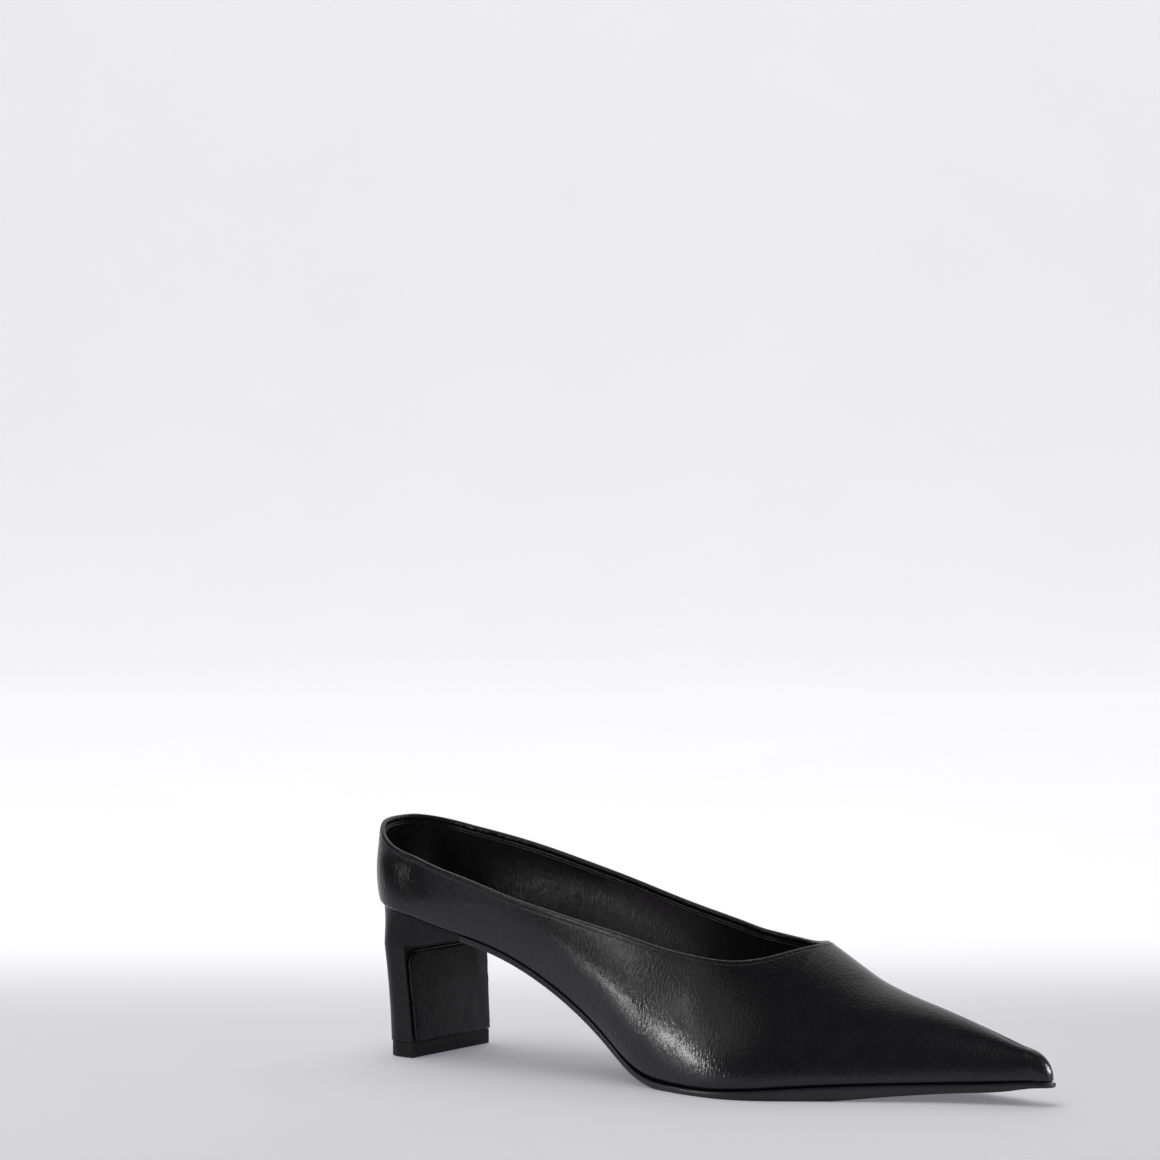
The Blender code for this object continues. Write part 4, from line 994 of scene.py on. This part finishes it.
def seat_under(x, y):
    start = heel_world(breast_x(BREAST_HEIGHT), y, 0.0)[0]
    end = HEEL_LIP + y * math.tan(HEEL_TURN)
    share = min(max((x - start) / (end - start), 0.0), 1.0)
    return BREAST_HEIGHT + (sole_top(end) - HEEL_LIP_EDGE - BREAST_HEIGHT) * share ** SEAT_BEND


# From the breast's end (0) to the seat (1): the front corners' way forward to the lip, the
# rise, and the others' way outward.
Step = namedtuple("Step", "at forward rise outward")
SEAT_STEPS = [
    Step(0.0, 0.00, 0.00, 0.00), Step(1.0, 0.05, 0.16, 0.06), Step(2.0, 0.18, 0.34, 0.20),
    Step(3.0, 0.42, 0.55, 0.44), Step(4.0, 0.72, 0.78, 0.76), Step(5.0, 1.00, 0.93, 0.97),
    Step(6.0, 1.00, 1.00, 1.00),
]
steps_at = {name: smooth_curve([row.at for row in SEAT_STEPS],
                               [getattr(row, name) for row in SEAT_STEPS])
            for name in ("forward", "rise", "outward")}
low = TOP_LIFT_THICKNESS + GAP
loops = [column_loop(low + (BREAST_HEIGHT - low) * k / COLUMN_ROWS)
         for k in range(COLUMN_ROWS + 1)]
column_top, seat = loops[-1], seat_loop()
last = len(seat) - 1
for row in range(1, SEAT_ROWS + 1):
    place = 6.0 * row / SEAT_ROWS
    forward, rise, outward = [min(steps_at[name](place), 1.0)
                              for name in ("forward", "rise", "outward")]
    loop = []
    for k, (start, (x, y)) in enumerate(zip(column_top, seat)):
        frontness = max(1.0 - min(k, last - k) / SIDE_STEPS, 0.0)
        share = outward + (forward - outward) * frontness
        px = start[0] + (x - start[0]) * share
        py = start[1] + (y - start[1]) * share
        back_z = start[2] + (sole_top(x) - start[2]) * rise
        front_z = sole_top(px) if row == SEAT_ROWS else seat_under(px, py)
        loop.append(np.array([px, py, back_z + (front_z - back_z) * frontness]))
    loops.append(loop)


def bevelled(piece, width, angle=40.0, segments=3):
    """Rounds a piece's sharp edges and makes the result its plain mesh."""
    way = piece.modifiers.new("rounding", "BEVEL")
    way.width = width
    way.segments = segments
    way.limit_method = "ANGLE"
    way.angle_limit = math.radians(angle)
    way.harden_normals = False
    bpy.context.view_layer.update()
    whole = piece.evaluated_get(bpy.context.evaluated_depsgraph_get())
    piece.data = bpy.data.meshes.new_from_object(whole)
    piece.modifiers.clear()
    piece.data.name = piece.name
    piece.data.shade_smooth()
    piece.data.set_sharp_from_angle(angle=math.radians(50))
    return piece


# The same nappa, stretched tight on a hard block: smoother and a little more glossy
heel_finish, tree, shader = new_finish("nappa_on_block", 0.4, IOR=1.36)
where = add(tree, "ShaderNodeTexCoord").outputs["Object"]
pulled = add(tree, "ShaderNodeMapping", {"Vector": where, "Scale": (1.0, 1.0, 0.5)})
pores = add(tree, "ShaderNodeTexNoise", {"Vector": pulled.outputs["Vector"],
            "Scale": cells(0.8), "Detail": 3.0, "Roughness": 0.6})
wavy = add(tree, "ShaderNodeTexNoise", {"Vector": where, "Scale": cells(8.0), "Detail": 2.0})
height_1 = add(tree, "ShaderNodeMath", {0: pores.outputs["Fac"], 1: 0.03},
               operation="MULTIPLY")
height_2 = add(tree, "ShaderNodeMath", {0: wavy.outputs["Fac"], 1: 0.16,
               2: height_1.outputs[0]}, operation="MULTIPLY_ADD")
bump = add(tree, "ShaderNodeBump", {"Height": height_2.outputs[0], "Distance": MM})
tree.links.new(bump.outputs["Normal"], shader.inputs["Normal"])
shade = add(tree, "ShaderNodeMix", {0: wavy.outputs["Fac"], 6: colour("#141316"),
            7: colour("#1c1b1d")}, data_type="RGBA")
tree.links.new(shade.outputs[2], shader.inputs["Base Color"])

work = bmesh.new()
made = grid_faces(work, [loop + loop[:1] for loop in loops])
work.faces.new(made[0][:-1])
top_row = made[-1][:-1]
for k in range(len(top_row) // 2):
    far = len(top_row) - 1 - k
    if k + 1 < far - 1:
        work.faces.new((top_row[k], top_row[k + 1], top_row[far - 1], top_row[far]))
    elif k + 1 == far - 1:
        work.faces.new((top_row[k], top_row[k + 1], top_row[far]))
closed(work)
heel = bevelled(piece_from("heel_cover", work, heel_finish), CORNER_ROUND)
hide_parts("heel")
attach(heel, "root")

# THE BREAST FLAP
# A flap of the same leather glued flat on the heel's breast over the turned-in edges of
# the cover. It is cut by hand, so its edge is a little uneven and the glue shows.
COVER_THICKNESS = 1.1 * MM
COVER_MARGIN = 1.2 * MM
COVER_DROP = 2.0 * MM
COVER_CORNER = 5.5 * MM
COVER_GRID = 1.0 * MM
COVER_UNEVEN = 0.32 * MM
GLUE_BEAD = 0.26 * MM
GLUE_STEP = 0.35 * MM
GLUE_SIDES = 8


def cover_outline():
    """Flap's edge seen from the front: distance across and height."""
    low = TOP_LIFT_THICKNESS + 2 * GAP
    top = BREAST_HEIGHT - COVER_DROP
    half = column_half(low) - COVER_MARGIN
    centre = column_half(top) - COVER_MARGIN - COVER_CORNER
    points = [np.array([-half, low]), np.array([half, low])]
    turns = [math.pi / 2 * k / 10 for k in range(11)]
    for sign, order in ((1.0, turns), (-1.0, turns[::-1])):
        for turn in order:
            points.append(np.array([sign * (centre + COVER_CORNER * math.cos(turn)),
                                    top - COVER_CORNER * (1.0 - math.sin(turn))]))
    return dense(points + points[:1], COVER_GRID)[:-1]


flap_finish, tree, shader = new_finish("glued_flap_leather", 0.45, IOR=1.38)
where = add(tree, "ShaderNodeTexCoord").outputs["Object"]
pores = add(tree, "ShaderNodeTexNoise", {"Vector": where, "Scale": cells(0.9), "Detail": 4.0,
            "Roughness": 0.65})
lumps = add(tree, "ShaderNodeTexNoise", {"Vector": where, "Scale": cells(6.0), "Detail": 3.0})
height_1 = add(tree, "ShaderNodeMath", {0: pores.outputs["Fac"], 1: 0.05},
               operation="MULTIPLY")
height_2 = add(tree, "ShaderNodeMath", {0: lumps.outputs["Fac"], 1: 0.35,
               2: height_1.outputs[0]}, operation="MULTIPLY_ADD")
bump = add(tree, "ShaderNodeBump", {"Height": height_2.outputs[0], "Distance": MM})
tree.links.new(bump.outputs["Normal"], shader.inputs["Normal"])
shade = add(tree, "ShaderNodeMix", {0: lumps.outputs["Fac"], 6: colour("#121113"),
            7: colour("#201f21")}, data_type="RGBA")
tree.links.new(shade.outputs[2], shader.inputs["Base Color"])

outline = cover_outline()
middle = outline.mean(axis=0)
work = bmesh.new()
rows = []
for out, shrink in ((GAP, 0.0), (GAP + COVER_THICKNESS * 0.6, 0.0),
                    (GAP + COVER_THICKNESS * 0.9, 0.25 * MM),
                    (GAP + COVER_THICKNESS, 0.7 * MM)):
    row = []
    for k, spot in enumerate(outline):
        inward = (middle - spot) / np.linalg.norm(middle - spot)
        uneven = COVER_UNEVEN * (noise.noise(Vector((0.9 * k, 0.0, 0.0)))
                                 + noise.noise(Vector((0.21 * k, 7.0, 0.0))) + 1.0)
        y, z = spot + inward * (shrink + uneven)
        row.append(heel_world(breast_x(z) + out, y, z))
    rows.append(row)
made = grid_faces(work, [row + row[:1] for row in rows])
for row in (made[0][:-1], made[-1][:-1]):
    work.faces.new(row)
closed(work)
flap = piece_from("breast_flap", work, flap_finish)
flap.data.set_sharp_from_angle(angle=math.radians(60))
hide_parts("breast_cover")
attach(flap, "root")


def glue_bead(work, line, thick):
    """Closed uneven bead along a line of places across and up the heel's breast."""
    loops = []
    for k, (y, z) in enumerate(line):
        last = min(k, len(line) - 1 - k)
        rough = 1.0 + 0.9 * noise.noise(Vector((0.55 * k, 3.0, thick / MM)))
        radius = thick * rough * min(1.0, (last + 0.3) / 2)
        before, after = line[max(k - 1, 0)], line[min(k + 1, len(line) - 1)]
        along = (after - before) / np.linalg.norm(after - before)
        loop = []
        for step in range(GLUE_SIDES):
            turn = math.tau * step / GLUE_SIDES
            y_2 = y + radius * math.cos(turn) * along[1]
            z_2 = z - radius * math.cos(turn) * along[0]
            out = GAP + COVER_THICKNESS * 0.75 + radius * math.sin(turn)
            loop.append(heel_world(breast_x(z_2) + out, y_2, z_2))
        loops.append(loop)
    made = grid_faces(work, [loop + loop[:1] for loop in loops])
    for row in (made[0][:-1], made[-1][:-1]):
        work.faces.new(row)


# Dried glue: pressed out along the flap's outer and upper edges, shiny and uneven, with a
# few crumbs left on the leather by the lower inner corner.
glue, tree, shader = new_finish("dried_black_glue", 0.22, IOR=1.5)
shader.inputs["Base Color"].default_value = colour("#1c1b1c")
low, high = outline.min(axis=0), outline.max(axis=0)
edge_line = [spot for spot in outline if spot[1] > high[1] - 0.1 * MM
             or (spot[0] < low[0] * 0.6 and spot[1] > low[1] + 0.5 * MM)]
edge_line.sort(key=lambda spot: (spot[1] - low[1]) + max(0.0, spot[0] - low[0]))
edge_line = [spot + np.array([-0.1 * MM, 0.1 * MM]) for spot in edge_line]
work = bmesh.new()
glue_bead(work, dense(edge_line, GLUE_STEP), GLUE_BEAD)
for across, up, length in ((0.52, 2.2, 1.6), (0.60, 3.4, 1.2), (0.66, 1.6, 1.9)):
    start = np.array([high[0] * across, low[1] + up * MM])
    crumb = [start + np.array([0.25, 1.0]) * length * MM * k / 5 for k in range(6)]
    glue_bead(work, crumb, GLUE_BEAD * 0.8)
closed(work)
bead = piece_from("flap_glue", work, glue)
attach(bead, "root")

# THE TOP-LIFT
# A slab of hard black rubber nailed and glued under the heel, then sanded flush with the
# cover. It is all that the heel stands on.
TOP_LIFT_INSET = 0.3 * MM
EDGE_BREAK = 0.4 * MM

rubber, tree, shader = new_finish("sanded_rubber", 0.6, IOR=1.4)
where = add(tree, "ShaderNodeTexCoord").outputs["Object"]
sanded = add(tree, "ShaderNodeMapping", {"Vector": where, "Scale": (0.4, 0.4, 1.6)})
marks = add(tree, "ShaderNodeTexNoise", {"Vector": sanded.outputs["Vector"],
            "Scale": cells(0.5), "Detail": 3.0, "Roughness": 0.6})
bump = add(tree, "ShaderNodeBump", {"Height": marks.outputs["Fac"], "Distance": 0.06 * MM})
tree.links.new(bump.outputs["Normal"], shader.inputs["Normal"])
shade = add(tree, "ShaderNodeMix", {0: marks.outputs["Fac"], 6: colour("#161617"),
            7: colour("#262627")}, data_type="RGBA")
tree.links.new(shade.outputs[2], shader.inputs["Base Color"])

loops = []
for height, inset in ((0.0, TOP_LIFT_INSET + EDGE_BREAK), (EDGE_BREAK * 0.3,
                      TOP_LIFT_INSET + EDGE_BREAK * 0.3), (EDGE_BREAK, TOP_LIFT_INSET),
                      (TOP_LIFT_THICKNESS * 0.5, TOP_LIFT_INSET),
                      (TOP_LIFT_THICKNESS, TOP_LIFT_INSET)):
    loops.append([np.array([x, y, height])
                  for x, y, _ in column_loop(TOP_LIFT_THICKNESS, inset)])
work = bmesh.new()
made = grid_faces(work, [loop + loop[:1] for loop in loops])
for row in (made[0][:-1], made[-1][:-1]):
    work.faces.new(row)
closed(work)
top_lift = piece_from("top_lift_rubber", work, rubber)
top_lift.data.set_sharp_from_angle(angle=math.radians(50))
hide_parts("top_lift")
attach(top_lift, "root")

# THE STUDIO
# A pale floor that sweeps up into a white backdrop, soft light from large white panels,
# and the camera where the photograph was taken from.
CAMERA_TURN = 0.5248008897047113
FLOOR_HALF = 3.5
FLOOR_FRONT = -0.7
BACK_START = 1.9
BACK_ROUND = 0.9
BACK_TOP = 4.5
FLOOR_GLOW = 0.60
ROOM_LIGHT = 0.06          # the dim room in front of the shoe
BEYOND_FLOOR = 0.85        # pale again where the floor ends in other views

# Matt paint with a painted glow: it gives off light of its own, grey under the shoe and white a
# hand's width behind it
pale, tree, shader = new_finish("pale_paint_painted_glow", 0.9, IOR=1.4)
where = add(tree, "ShaderNodeTexCoord").outputs["Object"]
turned = add(tree, "ShaderNodeVectorRotate", {"Vector": where, "Angle": -CAMERA_TURN},
             rotation_type="Z_AXIS")
parts = add(tree, "ShaderNodeSeparateXYZ", {"Vector": turned.outputs["Vector"]})
farther = add(tree, "ShaderNodeMapRange", {"Value": parts.outputs["Y"], "From Min": 0.12,
              "From Max": 0.40}, interpolation_type="SMOOTHSTEP")
cloudy = add(tree, "ShaderNodeTexNoise", {"Vector": where, "Scale": 1.0 / 0.12, "Detail": 4.0})
shade = add(tree, "ShaderNodeMix", {0: cloudy.outputs["Fac"], 6: colour("#e2e1e6"),
            7: colour("#ececef")}, data_type="RGBA")
tree.links.new(shade.outputs[2], shader.inputs["Base Color"])
# Painted glow: the emission runs from grey near the shoe to white farther back
painted_glow_tint = add(tree, "ShaderNodeMix", {0: farther.outputs["Result"], 6: colour("#8f8e94"),
           7: colour("#efeff0")}, data_type="RGBA")
tree.links.new(painted_glow_tint.outputs[2], shader.inputs["Emission Color"])
shader.inputs["Emission Strength"].default_value = FLOOR_GLOW

profile = [(FLOOR_FRONT, 0.0), (BACK_START, 0.0)]
profile += [(BACK_START + BACK_ROUND * math.sin(math.radians(a)),
             BACK_ROUND * (1.0 - math.cos(math.radians(a)))) for a in range(5, 91, 5)]
profile.append((BACK_START + BACK_ROUND, BACK_TOP))
work = bmesh.new()
turn = np.array([[math.cos(CAMERA_TURN), -math.sin(CAMERA_TURN)],
                 [math.sin(CAMERA_TURN), math.cos(CAMERA_TURN)]])
rows = []
for side in (-FLOOR_HALF, FLOOR_HALF):
    row = []
    for far, high in profile:
        x, y = turn @ np.array([side, far])
        row.append(np.array([x, y, high]) - PLACE)
    rows.append(row)
grid_faces(work, rows)
bmesh.ops.recalc_face_normals(work, faces=work.faces)
sweep = piece_from("studio_sweep", work, pale)

world = bpy.data.worlds.new("studio_air")
bpy.context.scene.world = world
world.use_nodes = True
air = world.node_tree.nodes["Background"]
air.inputs["Color"].default_value = colour("#ffffff")
seen = add(world.node_tree, "ShaderNodeLightPath").outputs["Is Camera Ray"]
strength = add(world.node_tree, "ShaderNodeMapRange", {"Value": seen, "To Min": ROOM_LIGHT,
               "To Max": BEYOND_FLOOR})
world.node_tree.links.new(strength.outputs["Result"], air.inputs["Strength"])


def panel(name, place, aim, width, height, watts, spread=180.0):
    """A soft white light panel that faces a point of the shoe."""
    data = bpy.data.lights.new(name, "AREA")
    data.shape = "RECTANGLE"
    data.size = width
    data.size_y = height
    data.energy = watts
    data.spread = math.radians(spread)
    lamp = bpy.data.objects.new(name, data)
    bpy.context.scene.collection.objects.link(lamp)
    lamp.visible_camera = False
    lamp.location = place
    lamp.rotation_euler = (Vector(aim) - Vector(place)).to_track_quat("-Z", "Y").to_euler()
    return lamp


panel("overhead_panel", (-0.5, 1.0, 2.4), (0.0, 0.2, 0.0), 3.0, 2.2, 14.0)
low_strip = panel("low_strip", (-0.190, -0.232, 0.031), (0.026, -0.036, 0.014), 0.040, 0.026,
                  0.0042, 24.0)
high_strip = panel("high_strip", (-0.147, -0.269, 0.110), (-0.010, -0.030, 0.040), 0.05, 0.08,
                   0.003, 60.0)
floor_light = panel("floor_light", (-0.35, -0.2, 1.6), (0.0, 0.0, 0.0), 1.2, 1.2, 8.6)
only_floor = bpy.data.collections.new("lit_floor")
only_floor.objects.link(sweep)
floor_light.light_linking.receiver_collection = only_floor
rim_strip = panel("rim_strip", (-0.180, -0.245, 0.165), (-0.050, 0.030, 0.070), 0.08, 0.06,
                  0.011, 60.0)
tip_strip = panel("tip_strip", (0.420, 0.060, 0.120), (0.129, 0.002, 0.012), 0.05, 0.10, 0.045,
                  30.0)
no_floor = bpy.data.collections.new("unlit_floor")
no_floor.objects.link(sweep)
no_floor.collection_objects[0].light_linking.link_state = "EXCLUDE"
for lamp in (low_strip, high_strip, rim_strip, tip_strip):
    lamp.light_linking.receiver_collection = no_floor
panel("front_fill", (-0.32, -1.20, 1.05), (0.0, 0.0, 0.04), 1.0, 0.9, 1.6)

camera_data = bpy.data.cameras.new("photo_camera")
camera_data.lens = 124.138
camera_data.sensor_width = 36.0
camera = bpy.data.objects.new("photo_camera", camera_data)
bpy.context.scene.collection.objects.link(camera)
camera.location = (0.6615, -1.2275, 0.2298)
camera.rotation_euler = (math.pi / 2 - 0.04, 0.0, CAMERA_TURN)
bpy.context.scene.camera = camera
bpy.context.scene.view_settings.view_transform = "Standard"
